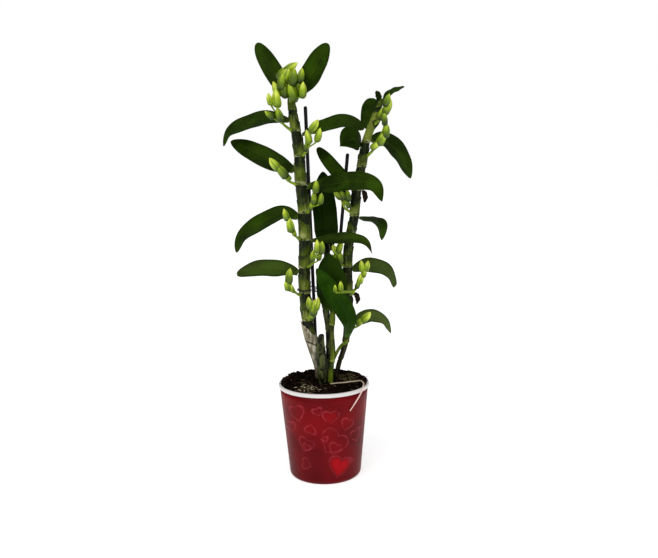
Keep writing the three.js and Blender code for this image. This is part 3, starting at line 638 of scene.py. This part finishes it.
def column(stem, heights):
    """x, y and radius of a stem at each height: cubic pieces through its rows, whose slope at a row
    is that of the chord between its two neighbours."""
    rows = np.array(STEMS[stem], float)
    last = len(rows) - 1
    z = np.clip(heights, rows[0, 2], rows[last, 2])
    i = np.clip(np.searchsorted(rows[:, 2], z, side="right") - 1, 0, last - 1)
    k = np.arange(last + 1)
    chord = rows[np.minimum(k + 1, last)] - rows[np.maximum(k - 1, 0)]
    slopes = chord / chord[:, 2:3]
    span = (rows[i + 1, 2] - rows[i, 2])[..., None]
    t = (z - rows[i, 2])[..., None] / span
    found = (
        rows[i] * (1 + 2 * t) * (1 - t) ** 2
        + slopes[i] * span * t * (1 - t) ** 2
        + rows[i + 1] * t * t * (3 - 2 * t)
        + slopes[i + 1] * span * t * t * (t - 1)
    )
    return found[..., 0], found[..., 1], found[..., 3]


STEM_STEP = 0.8
STEM_TIP = 2.5
RING_SWELL = 0.55
RING_WAIST = 0.4


def stem_shell(name, age):
    """One cane: level rings about its centre line. A ring swells by a bell curve at each joint and
    narrows just below it, slants a little, and has shallow grooves, a sine of the angle. Marks keep
    the share of the way from joint to joint, and the same share slanted by a sine of the angle."""
    joints = np.array(JOINTS[name], float)
    bottom, top = STEMS[name][0][2], STEMS[name][-1][2]
    heights = np.append(np.arange(bottom, top - 0.4, STEM_STEP), [top - 0.3, top - 0.05])
    x, y, radius = column(name, heights)
    turn = all_round(40)
    known = np.concatenate([[joints[0] - 40], joints, [joints[-1] + 34]])
    below = np.searchsorted(known, heights, side="right") - 1
    slant = 1.5 * np.cos(turn[None] + math.pi * (below[:, None] % 2)) * (radius[:, None] / 7)
    level = heights[:, None] + slant
    share, index = np.modf(np.interp(level, known, np.arange(len(known))))
    away = level - joints[np.abs(level[..., None] - joints).argmin(-1)]
    swell = RING_SWELL * np.exp(-(((away - 0.6) / 1.7) ** 2))
    swell -= RING_WAIST * np.exp(-(((away + 2.4) / 1.6) ** 2))
    grooves = 1 + 0.018 * np.cos(9 * turn + heights[:, None] / 23) + 0.012 * np.cos(5 * turn + 2)
    past = ((heights - top) / STEM_TIP + 1).clip(0)
    dome = np.sqrt(np.clip(1 - past**2, 0.002, 1))
    size = (radius[:, None] * grooves + swell) * dome[:, None]
    rings = around(x[:, None], y[:, None], heights[:, None], size, turn)
    edge = share + 0.17 * np.sin(turn + 2.4 * index)
    return shell(rings * MM, share=share, edge=edge, age=age(heights)[:, None])


def cane_finish(name, ring, light, deep, dark, old_light, old_dark):
    """Sheath colours up an internode: a pale ring, a light foot, deeper green, then near black from
    a slanting edge to the next ring. Old parts go brown and grey, and all is streaked lengthwise."""
    made = finish(name, light, 0.46, 0.16)
    streak = noise(made, 420, 4, (1, 1, 0.09))
    patch = noise(made, 70, 4, (1, 1, 0.5))
    age = mark(made, "age")
    moved = calc(made, "MULTIPLY_ADD", calc(made, "SUBTRACT", patch, 0.5), 0.5, mark(made, "edge"))
    fresh = ramp(made, moved, (0.0, light), (0.36, light), (0.56, deep), (0.66, dark), (1.0, dark))
    brown = ramp(made, noise(made, 150, 4, (1, 1, 0.45)), (0.42, old_dark), (0.58, old_light))
    worn = calc(made, "MULTIPLY", between(made, streak, 0.5, 0.72), between(made, age, 1.3, 0.0))
    green = layered(
        made,
        fresh,
        (age, brown, 1),
        (worn, ring, 0.4),
        (between(made, streak, 0.5, 0.3), dark, 0.5),
        (between(made, noise(made, 190, 4), 0.58, 0.68), old_dark, 0.7),
        (between(made, mark(made, "share"), 0.06, 0.02), ring, 0.6),
    )
    rough = add(made, "MapRange", Value=patch, To_Min=0.4, To_Max=0.65).outputs[0]
    return dress(made, green, streak, 0.35, Roughness=rough)


# Each finish: its ring, light, deep and dark green, and the light and dark of its old parts.
CANE_GREENS = [(96, 106, 44), (72, 86, 18), (46, 60, 12), (22, 30, 6), (60, 55, 36), (17, 15, 9)]
CANE_BROWNS = [(100, 97, 64), (58, 60, 30), (38, 40, 17), (17, 16, 9), (86, 92, 52), (13, 14, 5)]
cane_green = cane_finish("cane_green", *CANE_GREENS)
cane_old = cane_finish("cane_old", *CANE_BROWNS)
left_stem = stem_shell("left", lambda z: 1 - smooth_step(150, 200, z))
right_stem = stem_shell("right", lambda z: 1 - smooth_step(165, 215, z))
piece("left_cane_stem", [left_stem], cane_green, "cane_green", "cane_left")
piece("right_cane_stem", [right_stem], cane_green, "cane_green", "cane_right")

WRAPPED_FROM = 200
WRAP_REACH = 0.56
YOUNG_FROM = 425
YOUNG_REACH = 0.76
WRAP_TUCK = 0.8
WRAP_GAP = 0.3
WRAP_WALL = 0.32


def leaf_sheaths(name, young=math.inf):
    """The sheaths that wrap a cane, one from each joint, with a reach that is a share of the way to
    the next. Each stands off the cane by the square of the way up it, and its mouth is cut on a
    slant, a sine of the angle round the cane, that faces left and right by turns."""
    joints = [joint for joint in JOINTS[name] if joint > WRAPPED_FROM]
    turn = all_round(44)
    up = np.linspace(0, 1, 16)[:, None]
    risen = np.vstack([up, up[::-1]])
    shells = []
    for order, (low, high) in enumerate(zip(joints, joints[1:])):
        slant = 0.2 * np.sin(turn + math.pi * (order + 0.3)) + 0.05 * np.sin(3 * turn + order)
        tall = (high - low) * ((YOUNG_REACH if low > young else WRAP_REACH) + slant)
        z = low - WRAP_TUCK + (tall + WRAP_TUCK) * up
        x, y, radius = column(name, z)
        outer = radius + WRAP_GAP + 0.4 * up**2 + 0.4 * up**12 + 0.06 * np.cos(9 * turn + order)
        outside, inside = (around(x, y, z, size, turn) for size in (outer, outer - WRAP_WALL))
        wrap = np.vstack([outside, inside[::-1]])
        shells.append(shell(wrap * MM, joined=True, risen=risen, young=float(low > young)))
    return shells


wrap = finish("cane_sheath", (116, 130, 50), 0.5, 0.14)
streak = noise(wrap, 420, 4, (1, 1, 0.08))
patch = noise(wrap, 60, 4)
risen = mark(wrap, "risen")
lit = calc(wrap, "MULTIPLY_ADD", calc(wrap, "SUBTRACT", risen, 0.35), -0.3, patch)
greens = [(0.3, (36, 46, 8)), (0.46, (78, 92, 20)), (0.58, (104, 116, 36)), (0.72, (150, 156, 96))]
green = layered(
    wrap,
    ramp(wrap, lit, *greens),
    (between(wrap, streak, 0.52, 0.74), (178, 180, 126), 0.35),
    (between(wrap, streak, 0.48, 0.3), (38, 50, 14), 0.6),
    (mark(wrap, "young"), (138, 152, 60), 0.55),
    (between(wrap, calc(wrap, "ADD", risen, patch), 0.68, 0.5), (182, 182, 136), 0.6),
)
dress(wrap, green, streak, 0.35)
piece("left_cane_leaf_sheaths", leaf_sheaths("left"), wrap, "cane_green", "cane_left")
piece("right_cane_leaf_sheaths", leaf_sheaths("right", YOUNG_FROM), wrap, "cane_green", "cane_right")
piece("middle_cane_stem", [stem_shell("middle", np.ones_like)], cane_old, "cane_old", "cane_middle")
piece("cane_stub_stem", [stem_shell("stub", np.ones_like)], cane_old, "cane_old", "cane_stub")

# Left cane's dry sheath: a papery grey wrapper round its foot, fluted and torn off on a slant.
SHEATH_FOOT = 127
SHEATH_TOP = 195
SHEATH_LIP = 177
SHEATH_OUTSIDE = 2.15
SHEATH_INSIDE = 1.65


def sheath_rings(offset, heights, turn):
    """Level rings that follow the left cane at a distance, and lift toward its left side near the
    top by the cube of the share of the way up."""
    share = (heights - SHEATH_FOOT)[:, None] / (SHEATH_TOP - SHEATH_FOOT)
    radius = column("left", heights)[2][:, None] + offset
    lip = np.exp(-(((heights - SHEATH_LIP) / 1.4) ** 2))[:, None]
    radius = radius + 0.18 * np.cos(11 * turn) * share + 0.5 * lip
    ragged = 1.1 * np.sin(5 * turn + 1) + 0.7 * np.sin(13 * turn)
    z = heights[:, None] - (1.2 * radius * np.cos(turn) + ragged) * share**3
    x, y, _ = column("left", z)
    return around(x, y, z, radius, turn)


turn = all_round(72)
heights = np.linspace(SHEATH_FOOT, SHEATH_TOP, 70)
sheath_wall = np.vstack([
    sheath_rings(SHEATH_OUTSIDE, heights, turn),
    sheath_rings(SHEATH_INSIDE, heights[::-1], turn),
])
level = np.concatenate([heights, heights[::-1]])[:, None]
wrapper = shell(sheath_wall * MM, joined=True, level=level)
paper = finish("dry_sheath", (168, 161, 135), 0.85, 0.1)
streak = noise(paper, 380, 5, (1, 1, 0.06))
level = mark(paper, "level")
# A near-black band just under the flared lip is painted shadow.
under_lip = calc(paper, "ABSOLUTE", calc(paper, "SUBTRACT", level, SHEATH_LIP - 1.0))
grey = layered(
    paper,
    ramp(paper, streak, (0.28, (71, 64, 48)), (0.5, (154, 147, 123)), (0.72, (213, 209, 187))),
    (between(paper, noise(paper, 70, 3), 0.48, 0.66), (76, 67, 48), 0.6),
    (between(paper, under_lip, 1.6, 0.8), (26, 22, 17), 0.85),
    (between(paper, level, 162.0, 134.0), (55, 50, 36), 0.7),
)
dress(paper, grey, streak, 0.4)
piece("left_cane_wrapper", [wrapper], paper, "dry_sheath", "cane_left_sheath")

# Young shoot: soft, bright green, forked near its foot, with a fresh pale sheath at its top.
SHOOT_GREENS = [(176, 186, 96), (98, 116, 26), (70, 88, 16), (38, 50, 9), (90, 98, 38), (26, 32, 9)]
shoot_green = cane_finish("shoot_green", *SHOOT_GREENS)
shoot_stem = stem_shell("shoot", lambda z: 0.85 * np.exp(-(((z - 182) / 15) ** 2)))
branch = np.array(STEMS["shoot_branch"])
fork = tube(branch[:, :3], branch[:, 3], 24, 40, share=0.3, edge=0.46, age=0.0)
piece("young_shoot_stem", [shoot_stem, fork], shoot_green, "shoot_green", "young_shoot")

# Stakes and tie: two thin black plastic-coated rods pushed into the mix, and a soft black wire
# looped round the left cane and its rod, its two ends twisted off to the right.
STAKES = {
    "stake_left": [[-7.4, 31, 36], [-17, 5, 485]],
    "stake_right": [[-3, 42, 36], [36.5, 23, 425]],
}
STAKE_RADIUS = 2.3
TIE_HEIGHT = 249
TIE_WIRE = 0.85
CANE_CLEAR = 1.6
STAKE_CLEAR = 1.0
TIE_TAIL = [[-13, 0, 249.5], [-9, -1.5, 247.5], [-3, -3.2, 246.5], [2, -4, 246]]
TAIL_WIRE = 0.6
TAIL_TWIST = 0.55
stake_black = finish("stake_black", (22, 20, 24), 0.45, 0.2)
scuff = noise(stake_black, 500, 4, (1, 1, 0.1))
black = blend(stake_black, between(stake_black, scuff, 0.5, 0.8), (14, 13, 18), (43, 42, 48))
dress(stake_black, black, scuff, 0.15)
for name, points in STAKES.items():
    piece(name + "_rod", [tube(points, STAKE_RADIUS, 24, 60)], stake_black, "stake_black", name)

tie_black = finish("tie_black", (19, 19, 22), 0.6, 0.2)
rubbed = noise(tie_black, 700, 3)
black = blend(tie_black, rubbed, (12, 12, 14), (40, 40, 45))
dress(tie_black, black, rubbed, 0.1)
cane_x, cane_y, cane_radius = column("left", TIE_HEIGHT)
stake = np.array(STAKES["stake_left"])
stake_x, stake_y = (np.interp(TIE_HEIGHT, stake[:, 2], stake[:, k]) for k in range(2))
far = math.hypot(stake_x - cane_x, stake_y - cane_y)
toward = np.array([stake_x - cane_x, stake_y - cane_y]) / far
turn = all_round(60)
reach = cane_radius + CANE_CLEAR
rod_reach = STAKE_RADIUS + STAKE_CLEAR
out = np.where(np.cos(turn) < 0, reach, reach + (rod_reach - reach) * np.cos(turn))
shift = far * np.clip(0.5 + 1.6 * np.cos(turn), 0, 1)
loop_x, loop_y = out * np.cos(turn) + shift, out * np.sin(turn)
loop = np.stack([
    cane_x + loop_x * toward[0] - loop_y * toward[1],
    cane_y + loop_x * toward[1] + loop_y * toward[0],
    TIE_HEIGHT + 0.8 * np.sin(turn + 1),
], -1)
along = unit(np.roll(loop, -1, 0) - np.roll(loop, 1, 0))
level = np.cross(along, [0, 0, 1])
ring = circled(level, np.cross(along, level), 10)
tie_parts = [shell((loop[:, None] + TIE_WIRE * ring) * MM, joined=True)]
tail = smooth_path(TIE_TAIL, np.linspace(0, 1, 40))
twist = np.linspace(0, 7 * np.pi, 40)[:, None]
for wind in (twist, twist + np.pi):
    swing = np.hstack([0 * wind, np.sin(wind), np.cos(wind)])
    tie_parts.append(tube(tail + TAIL_TWIST * swing, TAIL_WIRE, 8, 60))
piece("cane_tie_wire", tie_parts, tie_black, "tie_black", "cane_tie")

# Leaves: stiff straps, folded into a shallow channel and turned on their midrib, that clasp the
# cane at a joint. Waxy deep green above, paler and duller below, with fine lengthwise veins.
# Each: stem, height, compass angle, turn of its face, width, how pointed, and its midrib as [out, up].
LEAVES = {
    "left_leaf_1": ["left", 270, 168, 56, 25, 0.5, [[23, 4], [60, 6], [93, -2]]],
    "left_leaf_2": ["left", 313, -24, 44, 19, 1.7, [[36, 3], [70, 4], [86, -1], [95, -18]]],
    "left_leaf_3": ["left", 343, 160, 60, 27, 0.5, [[31, 5], [63, -8], [88, -24], [100, -47]]],
    "left_leaf_4": ["left", 383, -22, 62, 27, 0.8, [[38, 2], [74, 6], [99, 1], [109, -19]]],
    "left_leaf_5": ["left", 403, 158, 60, 28, 0.6, [[28, 7], [56, 21], [99, 41]]],
    "left_leaf_6": ["left", 448, -20, 56, 22, 0.45, [[34, 9], [65, 15], [90, 5]]],
    "left_leaf_7": ["left", 466, 164, 56, 25, 0.7, [[38, 4], [66, -2], [88, -11], [98, -29]]],
    "left_leaf_8": ["left", 498, 158, 76, 24, 0.5, [[15, 18], [46, 67]]],
    "left_leaf_9": ["left", 495.5, -12, 82, 29, 0.5, [[22, 19], [49, 63.5]]],
    "middle_leaf_1": ["middle", 298, 106, 0, 33, 0.6, [[8, 34], [15, 66], [15, 104]]],
    "shoot_leaf_1": ["shoot_branch", 186.5, 194, 88, 26, 0.6, [[1, 22], [10, 44], [23, 63], [42, 93]]],
    "shoot_leaf_2": ["shoot", 220, -106, 0, 41, 0.9, [[7, 22], [9, 48], [14, 79]]],
    "right_leaf_1": ["right", 200, 20, 40, 23, 0.4, [[14, 1], [31, 7], [50, 1], [63, -18]]],
    "right_leaf_2": ["right", 272, 24, 58, 23, 0.35, [[34, 4], [59, -5], [71, -27]]],
    "right_leaf_3": ["right", 342, -38, 12, 22, 0.9, [[22, -3], [37, -5], [43, -12], [43, -28]]],
    "right_leaf_4": ["right", 380, 162, 66, 18, 0.45, [[19, 13], [35, 31], [53, 53]]],
    "right_leaf_5": ["right", 432, 215, 66, 34, 1.5, [[13, 8], [26, 9], [40, 1]]],
    "right_leaf_6": ["right", 440, 20, 66, 30, 0.6, [[26, -1], [46, -17], [63, -49]]],
    "right_leaf_7": ["right", 454, 80, 0, 26, 0.45, [[11, 15], [16, 41]]],
    "right_leaf_8": ["right", 488, 16, 30, 12, 0.6, [[12, 11], [32, 20]]],
    "right_leaf_9": ["right", 489, 165, 30, 12, 0.6, [[4, 6], [6, 14]]],
    "right_bract_1": ["right", 239, -10, 40, 9, 0.9, [[10, 1], [12.5, -5], [11.5, -12]]],
    "right_bract_2": ["right", 377, -24, 40, 8, 0.9, [[10, -3], [11.5, -9], [10.5, -16]]],
}
LEAF_THICKNESS = 1.2
LEAF_FOLD = 0.22
LEAF_CLEARANCE = 0.9
LEAF_START = 0.6
LEAF_TWISTED = 0.45
LEAF_WAVE = 0.45
LEAF_CREASE = 0.3


def place_on(stem, height, azimuth):
    """A stem's centre and radius at a height, with the outward and level directions of an azimuth."""
    x, y, radius = column(stem, height)
    turn = math.radians(azimuth)
    out = np.array([math.cos(turn), math.sin(turn), 0])
    level = np.array([-math.sin(turn), math.cos(turn), 0])
    return np.array([x, y, height]), radius, out, level


def leaf_share(s, point):
    """A leaf's width along its midrib as a share of its greatest: the base widens as a quarter sine,
    and the tip closes as a power of 1 less a rising power of the way past the middle."""
    base = 0.42 + 0.58 * np.sin(np.minimum(s / 0.3, 1) * np.pi / 2)
    past = np.maximum((s - 0.45) / 0.55, 0)
    return base * np.maximum(np.clip(1 - past**2.2, 0, 1) ** point, 0.015)


def leaf_shell(name):
    """One strap: across the midrib each ring is a flat ellipse, lifted at its edges by the 1.5 power
    of the way out for the fold, and waved a little along the edges."""
    stem, height, azimuth, turn, width, point, path = LEAVES[name]
    centre, radius, out, level = place_on(stem, height, azimuth)
    up = np.array([0, 0, 1])
    knots = np.array([centre + out * a + up * b for a, b in [[radius + LEAF_CLEARANCE, 0], *path]])
    s = 1 - (1 - np.linspace(0, 1, 72)) ** 1.8
    middle = smooth_path(knots, s)
    near, far = np.maximum(s - 0.004, 0), np.minimum(s + 0.004, 1)
    along = unit(smooth_path(knots, far) - smooth_path(knots, near))
    normal = np.cross(along, level)
    share = LEAF_START + (1 - LEAF_START) * smooth_step(0, LEAF_TWISTED, s)[:, None]
    twist = math.radians(turn) * (1 if out[0] >= 0 else -1) * share
    across = level * np.cos(twist) + normal * np.sin(twist)
    facing = np.cross(along, across)
    v, skin = np.cos(all_round(48)), np.sin(all_round(48))
    half = (width * leaf_share(s, point) / 2)[:, None]
    seed = sum(map(ord, name)) % 17
    wave = LEAF_WAVE * np.sin(19 * s[:, None] + seed + 1.5 * v) * v**2 * smooth_step(0.05, 0.3, s)[:, None]
    body = LEAF_THICKNESS / 2 * skin * np.minimum(1, half / 4)
    crease = LEAF_CREASE * np.exp(-((v * half / 0.9) ** 2)) * np.clip(half / 4, 0, 1)
    lift = LEAF_FOLD * half * np.abs(v) ** 1.5 + body + wave - crease
    rings = middle[:, None] + across[:, None] * (v * half)[..., None] + facing[:, None] * lift[..., None]
    # The lower leaves are paled toward grey-green on their upper face: part dust, part painted sheen.
    dust = np.clip((330 - height) / 100, 0, 1) * {"left": 0.55, "right": 1.0}.get(stem, 0)
    return shell(rings * MM, across=v, length=s[:, None], upper=(skin > 0) * 1.0, dust=dust)


def leaf_finish(name, deep, fresh, under, rib):
    """Mottled green with a faint rib and veins, both sines of the way across, darker along its edges
    and at its foot, and a paler, duller underside."""
    made = finish(name, deep, 0.4, 0.12, Specular_Tint=(0.7, 1.0, 0.25, 1.0))
    across, length, upper = mark(made, "across"), mark(made, "length"), mark(made, "upper")
    mottle = noise(made, 34, 4)
    off = calc(made, "ABSOLUTE", across)
    top = layered(
        made,
        ramp(made, mottle, (0.4, deep), (0.66, fresh)),
        # Part dust, part painted sheen on the upper face of the lower leaves.
        (mark(made, "dust"), (94, 110, 56), 0.7),
        (between(made, off, 0.55, 0.95), deep, 0.55),
    )
    veins = calc(made, "SINE", calc(made, "MULTIPLY", across, 46.0))
    veins = calc(made, "MULTIPLY_ADD", veins, 0.5, 0.5)
    ribbed = between(made, off, 0.07, 0.015)
    green = layered(
        made,
        blend(made, upper, blend(made, mottle, under, fresh), top),
        (calc(made, "POWER", veins, 3.0), rib, 0.12),
        (ribbed, rib, 0.1),
        (between(made, length, 0.07, 0.0), rib, 0.5),
        (between(made, length, 0.99, 1.0), (102, 83, 40), 0.6),
    )
    wax = calc(made, "MULTIPLY_ADD", mottle, 0.25, calc(made, "MULTIPLY_ADD", upper, -0.14, 0.4))
    grain = calc(made, "MULTIPLY", noise(made, 160, 3), 0.8)
    relief = calc(made, "SUBTRACT", calc(made, "MULTIPLY_ADD", veins, 0.35, grain), ribbed)
    return dress(made, green, relief, 0.3, Roughness=wax)


# The third, darker copy of the leaf green is painted shade, for leaves that stand in the shadow of others.
LEAF_GREENS = {
    "leaf_green": [(17, 33, 2), (44, 68, 9), (56, 76, 22), (96, 122, 36)],
    "leaf_young": [(20, 46, 3), (44, 76, 12), (52, 84, 22), (84, 124, 40)],
    "leaf_shaded": [(9, 26, 1), (20, 39, 3), (32, 52, 8), (64, 92, 26)],
}
leaf_green, leaf_young, leaf_shaded = (leaf_finish(name, *greens) for name, greens in LEAF_GREENS.items())
dry = finish("dry_bract", (36, 29, 23), 0.85, 0.1)
streak = noise(dry, 400, 4)
brown = ramp(dry, streak, (0.3, (14, 12, 9)), (0.7, (50, 40, 31)))
dress(dry, brown, streak, 0.4)
for name in LEAVES:
    if "bract" in name:
        piece(name + "_scale", [leaf_shell(name)], dry, "dry_sheath", name)
    elif name == "shoot_leaf_1":
        piece(name + "_blade", [leaf_shell(name)], leaf_young, "leaf_young", name)
    # The young shoot's second leaf and the middle leaf take the darker copy: painted shade.
    elif "shoot" in name or "middle" in name:
        piece(name + "_blade", [leaf_shell(name)], leaf_shaded, "leaf_green", name)
    else:
        piece(name + "_blade", [leaf_shell(name)], leaf_green, "leaf_green", name)

# Flower buds: closed lime-green buds on thin stalklets, in loose clusters that spring from a joint
# opposite its leaf. Three sepals meet in fine seams, and each bud has a small chin at its foot.
# Each cluster: stem, height, compass angle, and its buds as
# [out, side, up, lean outward, tilt to the side, length].
CLUSTERS = {
    "left_buds_1": ["left", 208, -72, [
        [13, 3, 9, 10, 4, 15], [14, 5, 17, 6, 6, 24], [15, 9, 22, 10, 12, 20],
        [14, -1, 24, 0, -4, 18],
    ]],
    "left_buds_2": ["left", 241, 222, [
        [24, 1, 13, 14, 0, 13], [30, 0, 17, 12, 0, 17], [27, 1, 28, -6, 0, 22],
    ]],
    "left_buds_3": ["left", 279, -54, [
        [21, -1, 16, 4, 8, 16], [31, -1, 29, 4, 0, 18], [34, 4, 27, 6, 4, 18],
        [26, 6, 16, 10, 14, 14],
    ]],
    "left_buds_4": ["left", 315, 216, [
        [17, 0, 11, 16, 0, 13], [23, 1, 20, 12, 0, 22], [28, -1, 33, 22, 0, 18],
    ]],
    "left_buds_5": ["left", 350, -59, [
        [18, 0, 8, 14, 0, 12], [23, 2, 19, 6, -4, 17], [30, 1, 33, 4, 6, 18], [28, 9, 18, 8, 8, 16],
    ]],
    "left_buds_6": ["left", 386, 214, [
        [21, 0, 11, 48, 0, 15], [29, 1, 17, 44, 0, 24], [38, -1, 26, 46, 0, 22],
    ]],
    "left_buds_7": ["left", 422, -54, [
        [18, -1, 12, 14, 4, 15], [25, -3, 23, 2, -14, 19], [34, 0, 36, 20, 30, 20],
        [36, 5, 25, 10, 14, 19],
    ]],
    "left_buds_8": ["left", 454, 212, [
        [25, 3, 19, 22, 0, 20], [36, -2, 19, 60, 0, 16], [28, 2, 39, 10, 0, 24],
        [36, -1, 38, 16, 0, 16],
    ]],
    "left_buds_9": ["left", 489, 262, [
        [14, 4, 11, 4, -18, 26], [18, 18, 13, 6, 4, 21], [11, -17, 16, 4, -20, 21],
        [15, -9, 24, 2, 10, 23], [10, -8, 36, 0, 46, 22], [10, 2, 42, 0, 58, 21],
        [15, 6, 29, 4, 8, 24], [12, 15, 31, 2, 10, 20], [8, 10, 21, 4, 0, 21],
        [12, -3, 34, 0, 20, 22], [13, -7, 14, 4, -12, 21],
    ]],
    "right_buds_1": ["right", 194, -40, [[21, 1, 11, 52, 0, 17], [33, -1, 19, 48, 0, 20]]],
    "right_buds_2": ["right", 243, -40, [
        [17, 0, 12, 26, 0, 14], [21, 1, 20, 24, 0, 18], [24, 0, 36, -4, -4, 17],
        [29, 4, 36, 16, 8, 16], [26, 2, 28, 14, 4, 15],
    ]],
    "right_buds_3": ["right", 240, -70, [[34, -23, 17, 0, 0, 14], [35, -31, 14.5, 0, 0, 11]]],
    "right_buds_4": ["right", 278, 214, [
        [14, 3, 13, 8, 0, 18], [16, 6, 27, -14, 10, 18], [20, 1, 23, 34, 0, 17],
        [18, -1, 12, 50, 0, 15],
    ]],
    "right_buds_5": ["right", 349, 214, [
        [14, 3, 12, 36, 0, 15], [27, 1, 23, 50, 0, 17], [21, 2, 23, 34, 0, 17],
        [15, 6, 22, 12, 0, 17],
    ]],
    "right_buds_6": ["right", 420, -38, [
        [20, 0, 14, 60, 0, 18], [29, 1, 21, 34, 0, 20], [35, 2, 31, 10, 0, 19],
        [34, 0, 45, 2, 0, 16],
    ]],
    "right_buds_7": ["right", 460, -38, [
        [14, 2, 14, 30, 8, 18], [18, 1, 11, 44, 8, 17], [22, 4, 21, 24, 16, 22],
        [24, 0, 29, 26, 4, 18],
    ]],
}
BUD_RADIUS = 0.235
BUD_SEAM = 0.13
BUD_CHIN = 0.3
BUD_BEND = 0.05
STALK_RADII = [2.1, 1.5, 1.35]
STALKLET_RADII = [1.0, 0.9, 1.35]


def bud_shell(middle, direction, outward, length, spin):
    """One bud along y from its foot, -1, to its tip, 1. Its radius is the root of 1 less y squared,
    fuller toward the foot and drawn to a point at the tip; three seams cut in where the sepals meet,
    a chin swells at the foot, and the whole bends a little outward."""
    y = np.sin(np.linspace(-np.pi / 2, np.pi / 2, 26))[1:-1, None]
    turn = all_round(36)
    third = (turn + spin) % (2 * np.pi / 3) - np.pi / 3
    seam = np.exp(-((third / 0.2) ** 2)) * smooth_step(-0.9, -0.2, y)
    point = 0.5 + 0.28 * smooth_step(0.1, 1, y)
    swell = BUD_RADIUS * length * (1 - 0.25 * y) * (1 - y**2) ** point
    chin = 1 + BUD_CHIN * np.exp(-(((y + 0.72) / 0.22) ** 2)) * np.cos(turn).clip(0)
    size = (swell * (1 - BUD_SEAM * seam) * chin)[..., None]
    side = unit(np.cross(direction, outward))
    face = np.cross(side, direction)
    bend = BUD_BEND * length * (y[..., None] ** 2) * face
    rings = middle + direction * (y * length / 2)[..., None] + size * circled(face, side, 36) - bend
    return shell(rings * MM, length=(y + 1) / 2, seam=seam, tone=(spin * 7.3) % 1)


def cluster_shells(name):
    """The stalk from the stem's skin, and for every bud its stalklet and the bud itself."""
    stem, height, azimuth, buds = CLUSTERS[name]
    centre, radius, out, level = place_on(stem, height, azimuth)
    up = np.array([0, 0, 1.0])
    reach = max(bud[0] for bud in buds)
    rise = max(bud[2] for bud in buds)
    far = reach - radius
    knots = [[radius - 0.6, 0], [radius + 0.4 * far, 0.22 * rise], [radius + 0.6 * far, 0.5 * rise]]
    stalk = np.array([centre + out * a + up * b for a, b in knots])
    green = {"length": 0.42, "seam": 0.0, "tone": 0.5}
    parts = [tube(stalk, STALK_RADII, 14, 20, **green)]
    for order, (across, side, lift, lean, tilt, length) in enumerate(buds):
        tip = math.radians(lean)
        aside = math.tan(math.radians(tilt))
        direction = unit(up * math.cos(tip) + out * math.sin(tip) + level * aside)
        middle = centre + out * across + level * side + up * lift
        foot = middle - 0.44 * length * direction
        start = smooth_path(stalk, [np.clip(lift / rise, 0.3, 0.95)])[0]
        knee = start + (foot - start) * 0.6 + out
        course = [start, knee, foot + 0.06 * length * direction]
        parts.append(tube(course, STALKLET_RADII, 10, 14, **green))
        spin = 1.9 * order + 0.013 * height * (1 + order)
        parts.append(bud_shell(middle, direction, out, length, spin))
    return parts


glow = {"Subsurface_Weight": 0.15, "Subsurface_Radius": (0.6, 1.0, 0.2), "Subsurface_Scale": 2.5 * MM}
bud = finish("bud_lime", (154, 180, 55), 0.4, 0.35, **glow)
length, seam, tone = (mark(bud, name) for name in ("length", "seam", "tone"))
mottle = noise(bud, 130, 3)
# From the foot to the tip each bud goes from dark to pale: partly its own colour, partly painted shade at
# the foot and painted highlight toward the tip.
grown_and_shaded = calc(bud, "MULTIPLY_ADD", calc(bud, "SUBTRACT", mottle, 0.5), 0.5, length)
grown_and_shaded = calc(bud, "MULTIPLY_ADD", calc(bud, "SUBTRACT", tone, 0.5), 0.45, grown_and_shaded)
limes = [(0.0, (46, 62, 3)), (0.3, (92, 116, 10)), (0.62, (150, 178, 28)), (1.0, (228, 242, 92))]
# The seams are darkened as painted shade in their creases.
lime = blend(bud, seam, ramp(bud, grown_and_shaded, *limes), (62, 86, 8), 0.75)
dress(bud, lime, mottle, 0.12)
for name in CLUSTERS:
    piece(name + "_cluster", cluster_shells(name), bud, "bud_lime", name)

# Studio: a plain pale floor that is lit a little from below, soft white light from all round, one
# broad soft light from above in front and to the left, and a weaker one from the right.
FLOOR_REACH = 12
FLOOR_GLOW = 0.6
ROUND_LIGHT = 0.28
KEY = {"energy": 1.15, "angle": 60, "down": 46, "round": -24}
FILL = {"energy": 0.45, "angle": 80, "down": 58, "round": 42}
floor_mesh = bpy.data.meshes.new("studio_floor")
corners = [(-1, -1), (1, -1), (1, 1), (-1, 1)]
floor_mesh.from_pydata([(x * FLOOR_REACH, y * FLOOR_REACH, 0) for x, y in corners], [], [(0, 1, 2, 3)])
floor = bpy.data.objects.new("studio_floor", floor_mesh)
glow = {"Emission_Color": (1, 1, 1, 1), "Emission_Strength": FLOOR_GLOW}
pale = finish("pale_floor", (243, 243, 243), 0.9, 0.05, **glow)
floor.data.materials.append(pale)
scene.collection.objects.link(floor)

for name, light in {"soft_key": KEY, "soft_fill": FILL}.items():
    lamp = bpy.data.lights.new(name, "SUN")
    lamp.energy = light["energy"]
    lamp.angle = math.radians(light["angle"])
    sun = bpy.data.objects.new(name, lamp)
    sun.rotation_euler = (math.radians(light["down"]), 0, math.radians(light["round"]))
    scene.collection.objects.link(sun)

world = bpy.data.worlds.new("studio")
world.use_nodes = True
scene.world = world
tree = world.node_tree
seen = add(tree, "Background", Color=(1, 1, 1, 1), Strength=1.0)
lit = add(tree, "Background", Color=(1, 1, 1, 1), Strength=ROUND_LIGHT)
to_camera = add(tree, "LightPath").outputs["Is Camera Ray"]
choice = add(tree, "MixShader", _0=to_camera, _1=lit.outputs[0], _2=seen.outputs[0])
tree.links.new(choice.outputs[0], tree.nodes["World Output"].inputs["Surface"])
scene.view_settings.view_transform = "Standard"
